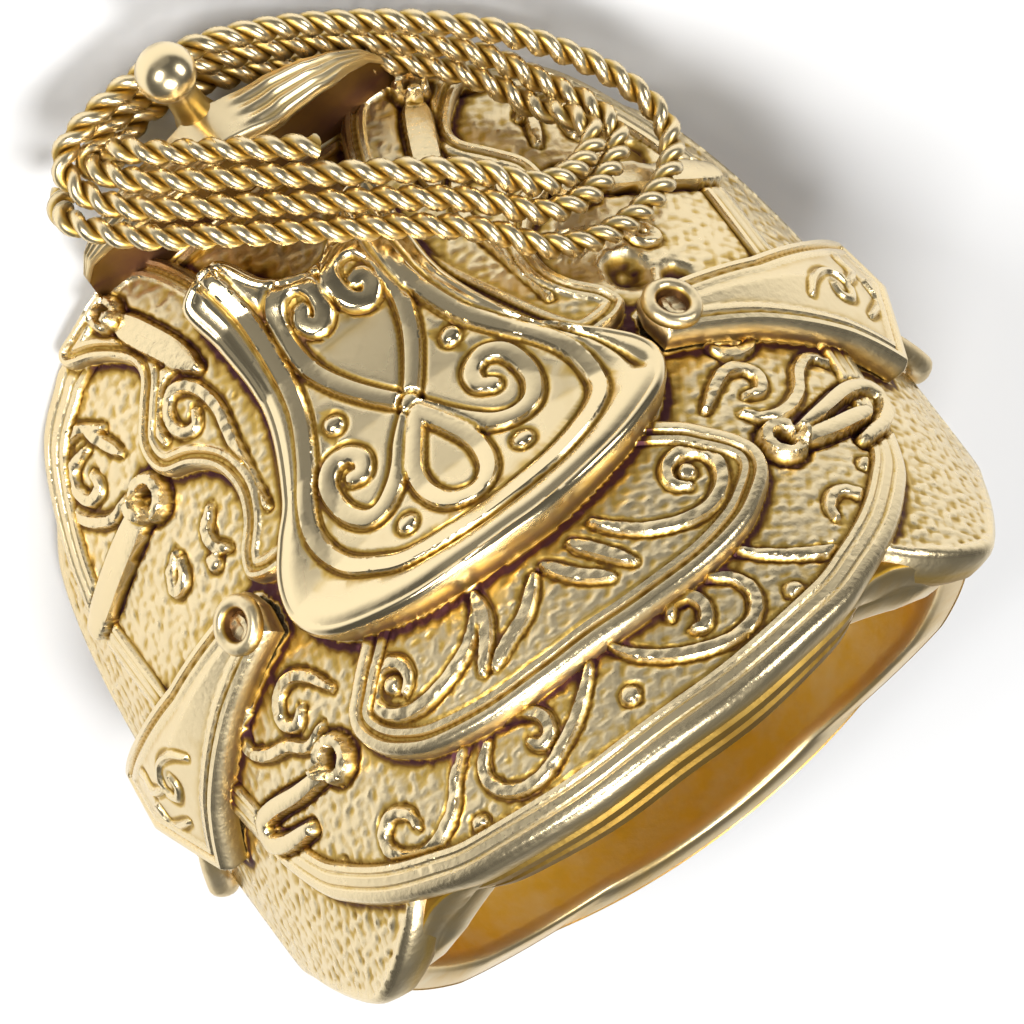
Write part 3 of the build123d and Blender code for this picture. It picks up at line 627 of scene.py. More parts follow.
def blanket_layer(side):
    outline = smooth_line(arc_of_side(BLANKET_SIDE, BLANKET_RADIUS, side), closed=True)
    rim = ([0, 0.06, 0.15, 0.3, 0.45, 0.6], [-0.3, -0.12, 0.02, 0.08, 0.04, 0])
    wall = [(0.0, 0.35), (0.05, 0.8), (0.3, 1.2)]
    return Layer(outline, BLANKET_RADIUS, rim, wall, cell=0.12, field=0.3, grain=0.05, covered=["skirt"])


def front_jockey_layer(side):
    def placed(points):
        return arc_of([(side * x, y) for x, y in points], JOCKEY_RADIUS)
    ornament = [Strap(placed(line), 0.2, 1.0) for line in FRONT_JOCKEY_STRAPS.values()]
    bands = [Strap(placed(POMMEL_STRAP), 0.45, 1.6, 0.1, 0.6)]
    rim = ([0, 0.05, 0.16, 0.28, 0.36, 0.44, 0.54, 0.66, 0.76],
           [-0.25, -0.05, 0.1, 0.1, -0.05, -0.05, 0.09, 0.09, 0])
    return Layer(
        smooth_line(placed(FRONT_JOCKEY), closed=True), JOCKEY_RADIUS, rim, [(0.0, 0.4), (0.05, 0.9)],
        cell=0.085, field=0.76, grain=0.03, ornament=ornament, bands=bands,
        rings=[(placed([POMMEL_RING])[0], 0.55)], covered=["seat"])


def make_layers():
    skirt_rim = ([0, 0.05, 0.13, 0.24, 0.44, 0.5, 0.56, 0.62, 0.86, 0.92, 0.98, 1.04, 1.2, 1.28, 1.38],
                 [-0.16, -0.04, 0.07, 0.12, 0.13, 0.08, 0.08, 0.14, 0.15, 0.1, 0.1, 0.16, 0.14, -0.04, 0])
    jockey_rim = ([0, 0.05, 0.13, 0.24, 0.44, 0.52, 0.6, 0.68, 0.86, 0.94, 1.02],
                  [-0.3, -0.08, 0.08, 0.14, 0.12, -0.04, -0.04, 0.1, 0.1, -0.04, 0])
    seat_rim = ([0, 0.04, 0.1, 0.18, 0.27, 0.34, 0.42, 0.52, 0.7, 0.95, 1.25, 1.6, 2.1],
                [-0.45, -0.24, -0.1, -0.02, 0.0, -0.035, -0.01, 0.03, 0.05, 0.03, -0.02, -0.06, -0.12])
    return {
        "blanket_left": blanket_layer(-1),
        "blanket_right": blanket_layer(1),
        "skirt": Layer(
            smooth_line(arc_of(mirrored(SKIRT_HALF), SKIRT_RADIUS), closed=True), SKIRT_RADIUS, skirt_rim,
            [(0.0, 0.3), (0.02, 0.6), (0.12, 0.68), (0.12, 0.8), (0.0, 0.9), (0.0, 1.25), (0.13, 1.35),
             (0.13, 1.5), (0.02, 1.6), (0.04, 1.95), (0.16, 2.05)],
            cell=0.115, field=1.3, grain=0.035,
            ornament=straps({**SKIRT_STRAPS, **both_sides(SKIRT_PAIRS)}, SKIRT_RADIUS, 0.21),
            bands=[Strap(arc_of(line, SKIRT_RADIUS), half, 2.0, 0.14, 0.25) for line, half in STRINGS.values()],
            dots=with_size(SKIRT_DOTS, SKIRT_RADIUS, 0.3), rings=with_size(CONCHOS, SKIRT_RADIUS, 0.78),
            covered=["seat", "rear_jockey", "front_jockey_left", "front_jockey_right"],
            hollows=[(arc_of([place], SKIRT_RADIUS)[0], size, sunk) for place, size, sunk in HOLLOWS]),
        "rear_jockey": Layer(
            smooth_line(arc_of(REAR_JOCKEY, JOCKEY_RADIUS), closed=True), JOCKEY_RADIUS, jockey_rim,
            [(0.0, 0.45), (0.05, 0.9)], cell=0.08, field=1.0, grain=0.03,
            ornament=straps(REAR_JOCKEY_STRAPS, JOCKEY_RADIUS, 0.22),
            dots=with_size(JOCKEY_DOTS, JOCKEY_RADIUS, 0.28), covered=["seat"]),
        "front_jockey_left": front_jockey_layer(-1),
        "front_jockey_right": front_jockey_layer(1),
        "seat": Layer(
            smooth_line(arc_of(SEAT, SEAT_RADIUS), closed=True), lambda places: seat_radius_at(places[:, 1]),
            seat_rim, [(0.0, 0.7), (0.06, 0.95), (0.22, 1.15), (0.3, 1.9)], cell=0.09,
            ornament=straps(SEAT_STRAPS, SEAT_RADIUS, 0.27, 0.75, 0.085, 0.15),
            dots=with_size(SEAT_DOTS, SEAT_RADIUS, 0.3),
            slots=[smooth_line(arc_of(line, SEAT_RADIUS)) for line in SEAT_SLOTS.values()]),
        "fender_left": fender_layer(-1),
        "fender_right": fender_layer(1),
    }


LAYERS = make_layers()
# The raster of the whole saddle: its step, and how far it goes to each side and along Y, in millimetres
FIELD_STEP = 0.09
FIELD_ARC = 20.6
FIELD_REACH = 13.4


def blurred(values, size):
    """A raster softened over a distance, by two passes of a bell."""
    reach = int(3 * size / FIELD_STEP) + 1
    bell = np.exp(-0.5 * (np.arange(-reach, reach + 1) * FIELD_STEP / size) ** 2)
    bell /= bell.sum()
    wide = np.pad(values, reach, mode="edge")
    wide = np.apply_along_axis(lambda row: np.convolve(row, bell, mode="valid"), 1, wide)
    return np.apply_along_axis(lambda row: np.convolve(row, bell, mode="valid"), 0, wide)


@lru_cache(maxsize=1)
def saddle_field():
    """How deep each place of the saddle lies below its surroundings, as a raster worked out from its layers."""
    arcs = np.arange(-FIELD_ARC, FIELD_ARC + FIELD_STEP / 2, FIELD_STEP)
    reaches = np.arange(-FIELD_REACH, FIELD_REACH + FIELD_STEP / 2, FIELD_STEP)
    grid = np.stack(np.meshgrid(arcs, reaches, indexing="ij"), axis=-1).reshape(-1, 2)
    top = np.full(len(grid), BLANKET_RADIUS - 0.4)
    for layer in LAYERS.values():
        depth = inside_depth(grid, layer.outline)
        within = depth > 0
        top[within] = np.maximum(top[within], layer.surface(grid[within], depth[within]))
    top = top.reshape(len(arcs), len(reaches))
    fine = (blurred(top, 0.16) - top) / 0.05
    broad = (blurred(top, 0.55) - top) / 0.3
    return np.clip(0.75 * np.clip(fine, -1, 1.2) + 0.55 * np.clip(broad, -0.6, 1.4), -1, 1.4)


def cavity_at(places):
    """The raster's value at arc places, blended between its four nearest points."""
    cavity_shade = saddle_field()
    a = np.clip((places[:, 0] + FIELD_ARC) / FIELD_STEP, 0, cavity_shade.shape[0] - 1.001)
    b = np.clip((places[:, 1] + FIELD_REACH) / FIELD_STEP, 0, cavity_shade.shape[1] - 1.001)
    i, j = a.astype(int), b.astype(int)
    s, t = a - i, b - j
    return ((cavity_shade[i, j] * (1 - s) + cavity_shade[i + 1, j] * s) * (1 - t)
            + (cavity_shade[i, j + 1] * (1 - s) + cavity_shade[i + 1, j + 1] * s) * t)


def settings():
    return bpy.context.scene.saddle_ring


def deselect():
    if bpy.context.object and bpy.context.object.mode != "OBJECT":
        bpy.ops.object.mode_set(mode="OBJECT")
    bpy.ops.object.select_all(action="DESELECT")


def on_drum(places, radius):
    """Arc places at a radius from the saddle's axis, as upright places in millimetres."""
    turn = places[:, 0] / SKIRT_RADIUS
    return np.column_stack([radius * np.sin(turn), places[:, 1], radius * np.cos(turn) - SADDLE_DROP])


def set_points(mesh, points):
    mesh.vertices.foreach_set("co", np.asarray(points, np.float32).ravel())
    mesh.update()


def get_points(mesh):
    points = np.empty(3 * len(mesh.vertices), np.float32)
    mesh.vertices.foreach_get("co", points)
    return points.reshape(-1, 3).astype(float)


def keep_cavity_shade(mesh, values):
    """Keeps how deep each point lies, for the material's painted shade: below 0 stands proud, and 1 is a dark
    recess.
    """
    mesh.attributes.new("cavity_shade", "FLOAT", "POINT").data.foreach_set("value", np.asarray(values, np.float32))


def make_active(piece):
    deselect()
    piece.select_set(True)
    bpy.context.view_layer.objects.active = piece


def new_piece(name, points, faces):
    """A new object of these points and faces."""
    mesh = bpy.data.meshes.new(name)
    mesh.from_pydata(np.vstack(points).tolist(), [], faces)
    mesh.update()
    piece = bpy.data.objects.new(name, mesh)
    bpy.context.collection.objects.link(piece)
    return piece


def face_outwards(piece):
    """Turns all the faces of a piece outwards."""
    make_active(piece)
    bpy.ops.object.mode_set(mode="EDIT")
    bpy.ops.mesh.select_all(action="SELECT")
    bpy.ops.mesh.normals_make_consistent(inside=False)
    bpy.ops.object.mode_set(mode="OBJECT")


def finish(piece, name, material, nodes, angle=40):
    """Lays a finished upright piece where the CAD model lies, and ties it to the frame."""
    piece.name = name
    piece.data.name = name
    piece.data.transform(LAY @ piece.matrix_world)
    piece.matrix_world = Matrix.Identity(4)
    points = get_points(piece.data)
    points[:, 2] = np.maximum(points[:, 2], 0)
    set_points(piece.data, points)
    make_active(piece)
    bpy.ops.object.shade_smooth_by_angle(angle=math.radians(angle))
    piece.data.materials.clear()
    piece.data.materials.append(material)
    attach(piece, "root")
    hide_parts(*nodes)
    deselect()
    return piece


def make_sheet(name, layer, nodes, material):
    """A sheet of the saddle: its places joined into triangles inside its outline, with walls round its edge."""
    edge, normal, inner = layer.mesh_places()
    count = len(edge)
    flat = [Vector((float(a), float(b))) for a, b in np.vstack([edge, inner])]
    found, _, faces, origins, _, _ = delaunay_2d_cdt(flat, [], [list(range(count))], 1, 1e-5)
    places = np.array([tuple(place) for place in found])
    rim = np.zeros(count, int)
    for index, sources in enumerate(origins):
        for source in sources:
            if source < count:
                rim[source] = index
    corners = places[np.array(faces[0][:3])]
    one, two = corners[1] - corners[0], corners[2] - corners[0]
    if one[0] * two[1] - one[1] * two[0] < 0:
        faces = [face[::-1] for face in faces]
    depth = inside_depth(places, edge)
    depth[rim] = 0
    radius = layer.surface(places, np.maximum(depth, 0))
    points = [on_drum(places, radius)]
    faces = [tuple(face) for face in faces]
    above = rim
    total = len(places)
    for inset, drop in layer.wall:
        points.append(on_drum(edge + inset * normal, radius[rim] - drop))
        below = total + np.arange(count)
        for a, b, c, d in zip(above, np.roll(above, -1), np.roll(below, -1), below):
            faces.append((int(b), int(a), int(d), int(c)))
        above = below
        total += count
    piece = new_piece(name, points, faces)
    # Painted shade: the top darkens by its depth below its surroundings, with none at the rim, and the walls
    # darken the further they drop under the edge.
    wall_shade = [float(np.interp(drop, [0.3, 1.0], [0.15, 0.75])) for _, drop in layer.wall]
    shade = cavity_at(places) * bump(depth / 0.24)
    keep_cavity_shade(piece.data, np.concatenate([shade, np.repeat(wall_shade, count)]))
    return finish(piece, name, material, nodes)


def gold_material(name, roughness, grain, ground=0.0, warm="warm_shaded_gold"):
    """Cast gold: polished where it stands proud, warmer on the low ground and dark in the recesses; that warmth
    and darkness are painted shade and reflected light, with some dark oxide.
    """
    material = bpy.data.materials.new(name)
    material.use_nodes = True
    nodes, links = material.node_tree.nodes, material.node_tree.links
    shader = nodes["Principled BSDF"]
    shader.inputs["Metallic"].default_value = 1.0
    cavity_shade = nodes.new("ShaderNodeAttribute")
    cavity_shade.attribute_name = "cavity_shade"
    places = nodes.new("ShaderNodeTexCoord")
    cloud = nodes.new("ShaderNodeTexNoise")
    cloud.inputs["Scale"].default_value = 900
    cloud.inputs["Detail"].default_value = 4
    links.new(places.outputs["Object"], cloud.inputs["Vector"])
    mix = nodes.new("ShaderNodeMath")
    mix.operation = "MULTIPLY_ADD"
    mix.inputs[1].default_value = 0.35
    links.new(cloud.outputs["Fac"], mix.inputs[0])
    links.new(cavity_shade.outputs["Fac"], mix.inputs[2])
    ramp = nodes.new("ShaderNodeValToRGB")
    chosen = settings()
    # The ramp by depth: gold, then the warmer shaded gold, then dark oxide deepened with painted shade, and
    # last a dark purple-brown painted shadow in the deepest hollows.
    stops = [(0.0, chosen.gold), (0.30, chosen.gold), (0.48, getattr(chosen, warm)), (0.75, chosen.patina_and_shade),
             (1.0, (0.08, 0.03, 0.035))]
    while len(ramp.color_ramp.elements) < len(stops):
        ramp.color_ramp.elements.new(0.5)
    for element, (place, colour) in zip(ramp.color_ramp.elements, stops):
        element.position = place
        element.color = (*colour, 1)
    spread = nodes.new("ShaderNodeMapRange")
    spread.inputs["From Min"].default_value = -0.35 - ground
    spread.inputs["From Max"].default_value = 1.5 - ground
    links.new(mix.outputs[0], spread.inputs["Value"])
    links.new(spread.outputs["Result"], ramp.inputs["Fac"])
    links.new(ramp.outputs["Color"], shader.inputs["Base Color"])
    rough = nodes.new("ShaderNodeMapRange")
    rough.inputs["From Min"].default_value = -0.2
    rough.inputs["From Max"].default_value = 1.0
    rough.inputs["To Min"].default_value = roughness
    rough.inputs["To Max"].default_value = 0.55
    links.new(mix.outputs[0], rough.inputs["Value"])
    links.new(rough.outputs["Result"], shader.inputs["Roughness"])
    fine = nodes.new("ShaderNodeTexNoise")
    fine.inputs["Scale"].default_value = 4200
    fine.inputs["Detail"].default_value = 3
    links.new(places.outputs["Object"], fine.inputs["Vector"])
    relief = nodes.new("ShaderNodeBump")
    relief.inputs["Strength"].default_value = grain
    relief.inputs["Distance"].default_value = 0.00006
    links.new(fine.outputs["Fac"], relief.inputs["Height"])
    links.new(relief.outputs["Normal"], shader.inputs["Normal"])
    return material


def material(name, **values):
    return bpy.data.materials.get(name) or gold_material(name, **values)


def cast_gold():
    return material("cast gold", roughness=0.27, grain=0.35, ground=0.02)


def polished_gold():
    return material("polished gold", roughness=0.17, grain=0.06, ground=-0.05)


def turned(profile, sides=40):
    """A turned piece on Z: a disc, extruded and resized ring by ring along its profile of (radius, height)."""
    deselect()
    radius, height = profile[0]
    bpy.ops.mesh.primitive_circle_add(vertices=sides, radius=radius, fill_type="NGON", location=(0, 0, 0))
    piece = bpy.context.object
    bpy.ops.object.mode_set(mode="EDIT")
    bpy.ops.mesh.select_all(action="SELECT")
    bpy.ops.transform.translate(value=(0, 0, height))
    for next_radius, next_height in profile[1:]:
        bpy.ops.mesh.extrude_region_move(TRANSFORM_OT_translate={"value": (0, 0, next_height - height)})
        scale = next_radius / radius
        bpy.ops.transform.resize(value=(scale, scale, 1), center_override=(0, 0, next_height))
        radius, height = next_radius, next_height
    face_outwards(piece)
    return piece


def on_saddle(x, y, radius):
    """The matrix of a place over the skirt's point (x, y), its Z pointing out of the saddle."""
    turn = math.asin(x / SKIRT_RADIUS)
    place = Vector((radius * math.sin(turn), y, radius * math.cos(turn) - SADDLE_DROP))
    return Matrix.Translation(place) @ Matrix.Rotation(turn, 4, "Y")


class RING_OT_core(bpy.types.Operator):
    """The plain casting under the ornament: shank, bore, lips and hems, from the CAD solid"""

    bl_idname = "saddle_ring.core"
    bl_label = "Shank and core"

    def execute(self, context):
        deselect()
        around = 256
        walls = [(0.0, 0.16), (0.07, 0.05), (0.2, 0.0), (0.5, 0.0), (0.9, 0.0), (1.0, 0.04), (1.02, 0.05),
                 (1.2, 0.0), (1.5, 0.0), (1.8, 0.0), (1.93, 0.05), (2.0, 0.16)]
        across = np.linspace(-1, 1, 17)[1:-1]
        spots = [(share, inset, 1, 0) for share, inset in walls]
        spots += [(2.0, 0.16, -run, 0) for run in across]
        spots += [(share, inset, -1, 0) for share, inset in reversed(walls)]
        spots += [(0.0, 0.16, run, 1) for run in across]
        bpy.ops.mesh.primitive_torus_add(major_segments=around, minor_segments=len(spots), major_radius=11,
                                         minor_radius=1)
        piece = context.object
        turn = np.linspace(0, 2 * math.pi, around, endpoint=False)[:, None]
        share, inset, way, bore = np.array(spots).T
        over = np.sqrt((BLANKET_RADIUS - 0.35) ** 2 - (SADDLE_DROP * np.sin(turn)) ** 2)
        saddle = over - SADDLE_DROP * np.cos(turn)
        head = bump((saddle * np.cos(turn) - 0.3) / 0.6)
        shank = BORE_RADIUS + SHANK_WALL
        rise = np.maximum((saddle - shank) * head, 0.02)
        radius = BORE_RADIUS + SHANK_WALL * np.minimum(share, 1) + rise * np.maximum(share - 1, 0)
        height = radius * np.cos(turn)
        low = np.where((height < 2.4) & ((share <= 1) | (head < 0.02)), np.interp(height, *SHANK_WIDTHS), 0)
        out = np.abs(radius * np.sin(turn))
        lip_front = np.minimum(np.interp(height, *HEAD_FRONT) - 0.1, np.interp(out, *LIP_FRONT))
        lip_rear = np.minimum(np.interp(height, *HEAD_REAR) - 0.1, np.interp(out, *LIP_REAR))
        front = np.maximum(low, np.where(height > 0.1, lip_front, 0))
        rear = np.maximum(low, np.where(height > 0.1, lip_rear, 0))
        y = way * (np.where(way > 0, front, rear) - inset)
        points = np.stack([radius * np.sin(turn), y, height], axis=-1).reshape(-1, 3)
        set_points(piece.data, points)
        # Painted shade: the bore tinted deeper, and the outer face under the saddle's sheets dark.
        shade = np.where(bore > 0, 0.32, 0.12) + np.where((share == 2) & (head > 0.5), 0.7, 0)
        keep_cavity_shade(piece.data, shade.ravel())
        face_outwards(piece)
        shank_gold = material("shank gold", roughness=0.2, grain=0.12, warm="bore_shaded_gold")
        finish(piece, "shank_and_core", shank_gold, ["ring_body"], 50)
        return {"FINISHED"}


class RING_OT_blanket(bpy.types.Operator):
    """The blanket's corners that show under the skirt"""

    bl_idname = "saddle_ring.blanket"
    bl_label = "Blanket corners"

    def execute(self, context):
        for name in ("blanket_left", "blanket_right"):
            make_sheet(name, LAYERS[name], ["ring_body"], cast_gold())
        return {"FINISHED"}


class RING_OT_skirt(bpy.types.Operator):
    """The skirt with its rim, scrolls, conchos and saddle strings"""

    bl_idname = "saddle_ring.skirt"
    bl_label = "Skirt"

    def execute(self, context):
        make_sheet("skirt_sheet", LAYERS["skirt"], ["ring_body"], cast_gold())
        return {"FINISHED"}


class RING_OT_jockeys(bpy.types.Operator):
    """The rear jockey and the two front jockeys"""

    bl_idname = "saddle_ring.jockeys"
    bl_label = "Jockeys"

    def execute(self, context):
        for name in ("rear_jockey", "front_jockey_left", "front_jockey_right"):
            make_sheet(name, LAYERS[name], ["ring_body"], cast_gold())
        return {"FINISHED"}


class RING_OT_seat(bpy.types.Operator):
    """The polished seat with its rolled edge and scroll motif"""

    bl_idname = "saddle_ring.seat"
    bl_label = "Seat"

    def execute(self, context):
        make_sheet("seat_sheet", LAYERS["seat"], ["ring_body"], polished_gold())
        return {"FINISHED"}


class RING_OT_fork(bpy.types.Operator):
    """The pommel arch and its horn"""

    bl_idname = "saddle_ring.fork"
    bl_label = "Fork and horn"

    def execute(self, context):
        deselect()
        ways = np.linspace(0.1, 0.9, 29)
        section = [(0, 0, 10.9, 0), (0, 0, 13.0, 0), (0, -0.6, 0, 1), (0.05, -0.2, 0, 1), (0.12, -0.05, 0, 1)]
        waves = FORK_GROOVES * 2 * math.pi
        section += [(way, 0.055 * math.cos(waves * way) - 0.12 * way, 0, 1) for way in ways]
        section += [
            (0.96, -0.2, 0, 1), (1, -0.36, 0, 1), (1, -0.6, 0, 1), (0.97, -0.8, 0, 1), (0.86, -0.9, 0, 1),
            (0.6, -0.9, 0, 1), (0.42, -1.2, 0, 1), (0.36, -1.8, 0, 1), (0.42, 0, 12.6, 0), (0.7, 0, 11.8, 0),
            (0.9, 0, 10.9, 0),
        ]
        way, below, foot, hangs = np.array(section).T
        bpy.ops.mesh.primitive_grid_add(x_subdivisions=96, y_subdivisions=len(section) - 1, size=2)
        piece = context.object
        x = FORK_HALF * np.sin(np.linspace(-1, 1, 97) * math.pi / 2)[None, :]
        out = np.abs(x)
        crest = np.interp(out, *FORK_CREST) + 0.5 * np.exp(-(x / 1.0) ** 2)
        rear = np.interp(out, *FORK_REAR)
        thin = 1 - 0.5 * (out / FORK_HALF) ** 2
        ridge = bump((out - 0.9) / 0.9)
        way, below, foot, hangs = (value[:, None] for value in (way, below, foot, hangs))
        on_top = (way > 0.08) & (way < 0.92) & (below > -0.2)
        drop = np.where(on_top, -0.06 * way + (below + 0.06 * way) * ridge, below * thin)
        z = np.where(hangs > 0, crest + drop, np.minimum(foot, crest - 1.9 * thin))
        y = np.broadcast_to(FORK_FRONT_Y + (rear - FORK_FRONT_Y) * way, z.shape)
        set_points(piece.data, np.stack([np.broadcast_to(x, z.shape), y, z], axis=-1).reshape(-1, 3))
        # Painted shade: in the bottoms of the arch's grooves, and dark on its rear face and underside.
        hollow = np.where(on_top, 0.25 * ridge * (np.cos(waves * way) < -0.2), 0)
        hollow = hollow + np.where((way > 0.3) & ((hangs == 0) | (below < -0.85)), 1.0, 0)
        keep_cavity_shade(piece.data, hollow.ravel())
        face_outwards(piece)
        finish(piece, "fork_arch", polished_gold(), ["ring_body"], 60)
        self.horn()
        return {"FINISHED"}

    def horn(self):
        middle = HORN_HEIGHT - HORN_BALL
        profile = [(0.95, 15.6), (0.72, 16.6), (0.56, 17.4), (0.52, 18.4), (0.55, middle - 0.8)]
        for step in range(1, 12):
            turn = math.radians(-58 + step * 12.2)
            profile.append((HORN_BALL * math.cos(turn), middle + HORN_BALL * math.sin(turn)))
        piece = turned(profile)
        piece.matrix_world = Matrix.Translation((0, HORN_Y, 0))
        height = get_points(piece.data)[:, 2]
        # Painted shade: darkest at the horn's foot, and again on the neck under its ball.
        keep_cavity_shade(piece.data, np.interp(height, [15.6, 17.5, 18.9, 19.2, 20.8], [0.7, 0.35, 0.5, 0.0, -0.2]))
        finish(piece, "horn_post", polished_gold(), ["ring_body"], 60)


class RING_OT_fenders(bpy.types.Operator):
    """The fender plates and the stirrups that hang from their hems"""

    bl_idname = "saddle_ring.fenders"
    bl_label = "Fenders and stirrups"

    def execute(self, context):
        for side, name in ((-1, "fender_left"), (1, "fender_right")):
            make_sheet(name + "_plate", LAYERS[name], [name], cast_gold())
            self.stirrup(side, name)
        return {"FINISHED"}

    def stirrup(self, side, name):
        deselect()
        line = [(-0.5, 3.6), (-0.55, 1.8), (-0.5, 0.5), (-0.1, -0.15), (0.9, -0.4), (2.1, -0.35), (2.6, 0.2),
                (2.8, 1.4), (2.85, 2.6)]
        route = smooth_line(line, steps=8)
        bpy.ops.mesh.primitive_cylinder_add(vertices=16, radius=1, depth=2, end_fill_type="NGON")
        piece = bpy.context.object
        form = bmesh.new()
        rings = []
        for k, (y, z) in enumerate(route):
            ahead = route[min(k + 1, len(route) - 1)] - route[max(k - 1, 0)]
            ahead /= np.hypot(*ahead)
            ring = []
            for turn in np.linspace(0, 2 * math.pi, 16, endpoint=False):
                wide = 0.3 * math.cos(turn)
                thick = 0.38 * math.sin(turn)
                py = y + wide * ahead[1]
                pz = z - wide * ahead[0]
                radius = 13.45 + thick - 0.4 * bump((0.8 - z) / 1.2)
                px = side * math.sqrt(max(radius**2 - (pz + SADDLE_DROP) ** 2, 0))
                ring.append(form.verts.new((px, py, pz)))
            rings.append(ring)
        for a, b in zip(rings, rings[1:]):
            for k in range(16):
                form.faces.new((a[k], a[(k + 1) % 16], b[(k + 1) % 16], b[k]))
        form.faces.new(rings[0])
        form.faces.new(rings[-1])
        bmesh.ops.recalc_face_normals(form, faces=form.faces)
        form.to_mesh(piece.data)
        form.free()
        keep_cavity_shade(piece.data, np.full(len(piece.data.vertices), 0.1))
        finish(piece, name + "_stirrup", cast_gold(), [name], 60)


class RING_OT_rivets(bpy.types.Operator):
    """The ringed rivets at the fenders' tops"""

    bl_idname = "saddle_ring.rivets"
    bl_label = "Rivets"

    def execute(self, context):
        profile = [(0.4, -1.2), (0.4, 0.0), (0.86, 0.02), (0.95, 0.12), (0.96, 0.3), (0.88, 0.46), (0.72, 0.52),
                   (0.58, 0.46), (0.5, 0.32), (0.47, 0.1), (0.4, 0.0), (0.3, 0.04), (0.14, 0.1)]
        for side, name in ((-1, "fender_rivet_left"), (1, "fender_rivet_right")):
            piece = turned(profile)
            points = get_points(piece.data)
            reach = np.hypot(points[:, 0], points[:, 1])
            # Painted shade: darker low round the head, and dark in its hollow middle.
            shade = np.interp(points[:, 2], [0.1, 0.5], [0.5, -0.1])
            keep_cavity_shade(piece.data, np.where(reach < 0.52, 1.1, shade))
            piece.matrix_world = on_saddle(side * RIVET_PLACE[0], RIVET_PLACE[1], FENDER_RADIUS + 0.08)
            finish(piece, name + "_head", cast_gold(), [name], 50)
        return {"FINISHED"}


class RING_OT_lasso(bpy.types.Operator):
    """The coiled lasso: two strands twisted about one smooth route"""

    bl_idname = "saddle_ring.lasso"
    bl_label = "Lasso"

    def controls(self):
        """The control points of the route, from the innermost turn to the outermost."""
        controls = []
        for turn in range(LASSO_TURNS + 1):
            for station, (at, step, gap) in enumerate(LASSO):
                early = station <= LASSO_LEFT_END
                if (turn == 0 and station == 0) or (turn == LASSO_TURNS and not early):
                    continue
                inwards = (LASSO_TURNS if early else LASSO_TURNS - 1) - turn
                steps = inwards + (gap if inwards else 0)
                controls.append(Vector(at) + steps * Vector(step))
        return controls + [Vector(place) for place in LASSO_ENDING]

    def route(self, context):
        """The rope's middle line, drawn as a smooth curve and read off at even stations."""
        controls = self.controls()
        curve = bpy.data.curves.new("lasso_route", "CURVE")
        curve.dimensions = "3D"
        spline = curve.splines.new("NURBS")
        spline.points.add(len(controls) - 1)
        for point, control in zip(spline.points, controls):
            point.co = (*control, 1)
        spline.order_u = 3
        spline.use_endpoint_u = True
        curve.resolution_u = 16
        guide = bpy.data.objects.new("lasso_route", curve)
        context.collection.objects.link(guide)
        context.view_layer.update()
        drawn = bpy.data.meshes.new_from_object(guide.evaluated_get(context.evaluated_depsgraph_get()))
        route = get_points(drawn)
        bpy.data.objects.remove(guide)
        lengths = np.concatenate([[0], np.cumsum(np.linalg.norm(np.diff(route, axis=0), axis=1))])
        stations = np.linspace(0, lengths[-1], int(lengths[-1] / ROPE_SPACING))
        return stations, np.column_stack([np.interp(stations, lengths, route[:, k]) for k in range(3)])

    def carried_frames(self, centre):
        """The route's direction at each station, and a direction across it that is carried along untwisted."""
        along = np.gradient(centre, axis=0)
        along /= np.linalg.norm(along, axis=1)[:, None]
        first = np.cross(along[0], (0, 0, 1.0))
        frames = [first / np.linalg.norm(first)]
        for way in along[1:]:
            kept = frames[-1] - way * (frames[-1] @ way)
            frames.append(kept / np.linalg.norm(kept))
        return along, np.array(frames)

    def execute(self, context):
        deselect()
        stations, centre = self.route(context)
        along, frames = self.carried_frames(centre)
        across = np.cross(along, frames)
        chosen = settings()
        strand = 0.27 * chosen.rope_diameter
        orbit = 0.5 * chosen.rope_diameter - strand
        sides = STRAND_SIDES
        points, faces, shade = [], [], []
        for start in (0, math.pi):
            twist = 2 * math.pi * stations / chosen.rope_lay + start
            out = np.cos(twist)[:, None] * frames + np.sin(twist)[:, None] * across
            around = -np.sin(twist)[:, None] * frames + np.cos(twist)[:, None] * across
            core = centre + orbit * out
            lead = along * (chosen.rope_lay / (2 * math.pi)) + around * orbit
            lead /= np.linalg.norm(lead, axis=1)[:, None]
            flat = np.cross(lead, out)
            base = sum(len(block) for block in points)
            rows = []
            for k in range(sides):
                angle = 2 * math.pi * k / sides
                rows.append(core + strand * (math.cos(angle) * out + math.sin(angle) * flat))
            block = np.stack(rows, axis=1).reshape(-1, 3)
            points.append(block)
            # Painted shade in the grooves between the two strands, darkest towards the rope's middle.
            reach = np.linalg.norm(block - np.repeat(centre, sides, axis=0), axis=1)
            edges = [0.3 * orbit, orbit + 0.4 * strand, orbit + strand]
            shade.append(np.interp(reach, edges, [1.2, 0.55, -0.15]))
            count = len(stations)
            for row in range(count - 1):
                for k in range(sides):
                    a = base + row * sides + k
                    b = base + row * sides + (k + 1) % sides
                    faces.append((a, b, b + sides, a + sides))
            faces.append(tuple(base + k for k in range(sides))[::-1])
            faces.append(tuple(base + (count - 1) * sides + k for k in range(sides)))
        piece = new_piece("lasso_rope", points, faces)
        keep_cavity_shade(piece.data, np.concatenate(shade))
        face_outwards(piece)
        rope_gold = material("rope gold", roughness=0.2, grain=0.1, ground=0.05)
        finish(piece, "lasso_rope", rope_gold, ["lasso"], 70)
        return {"FINISHED"}


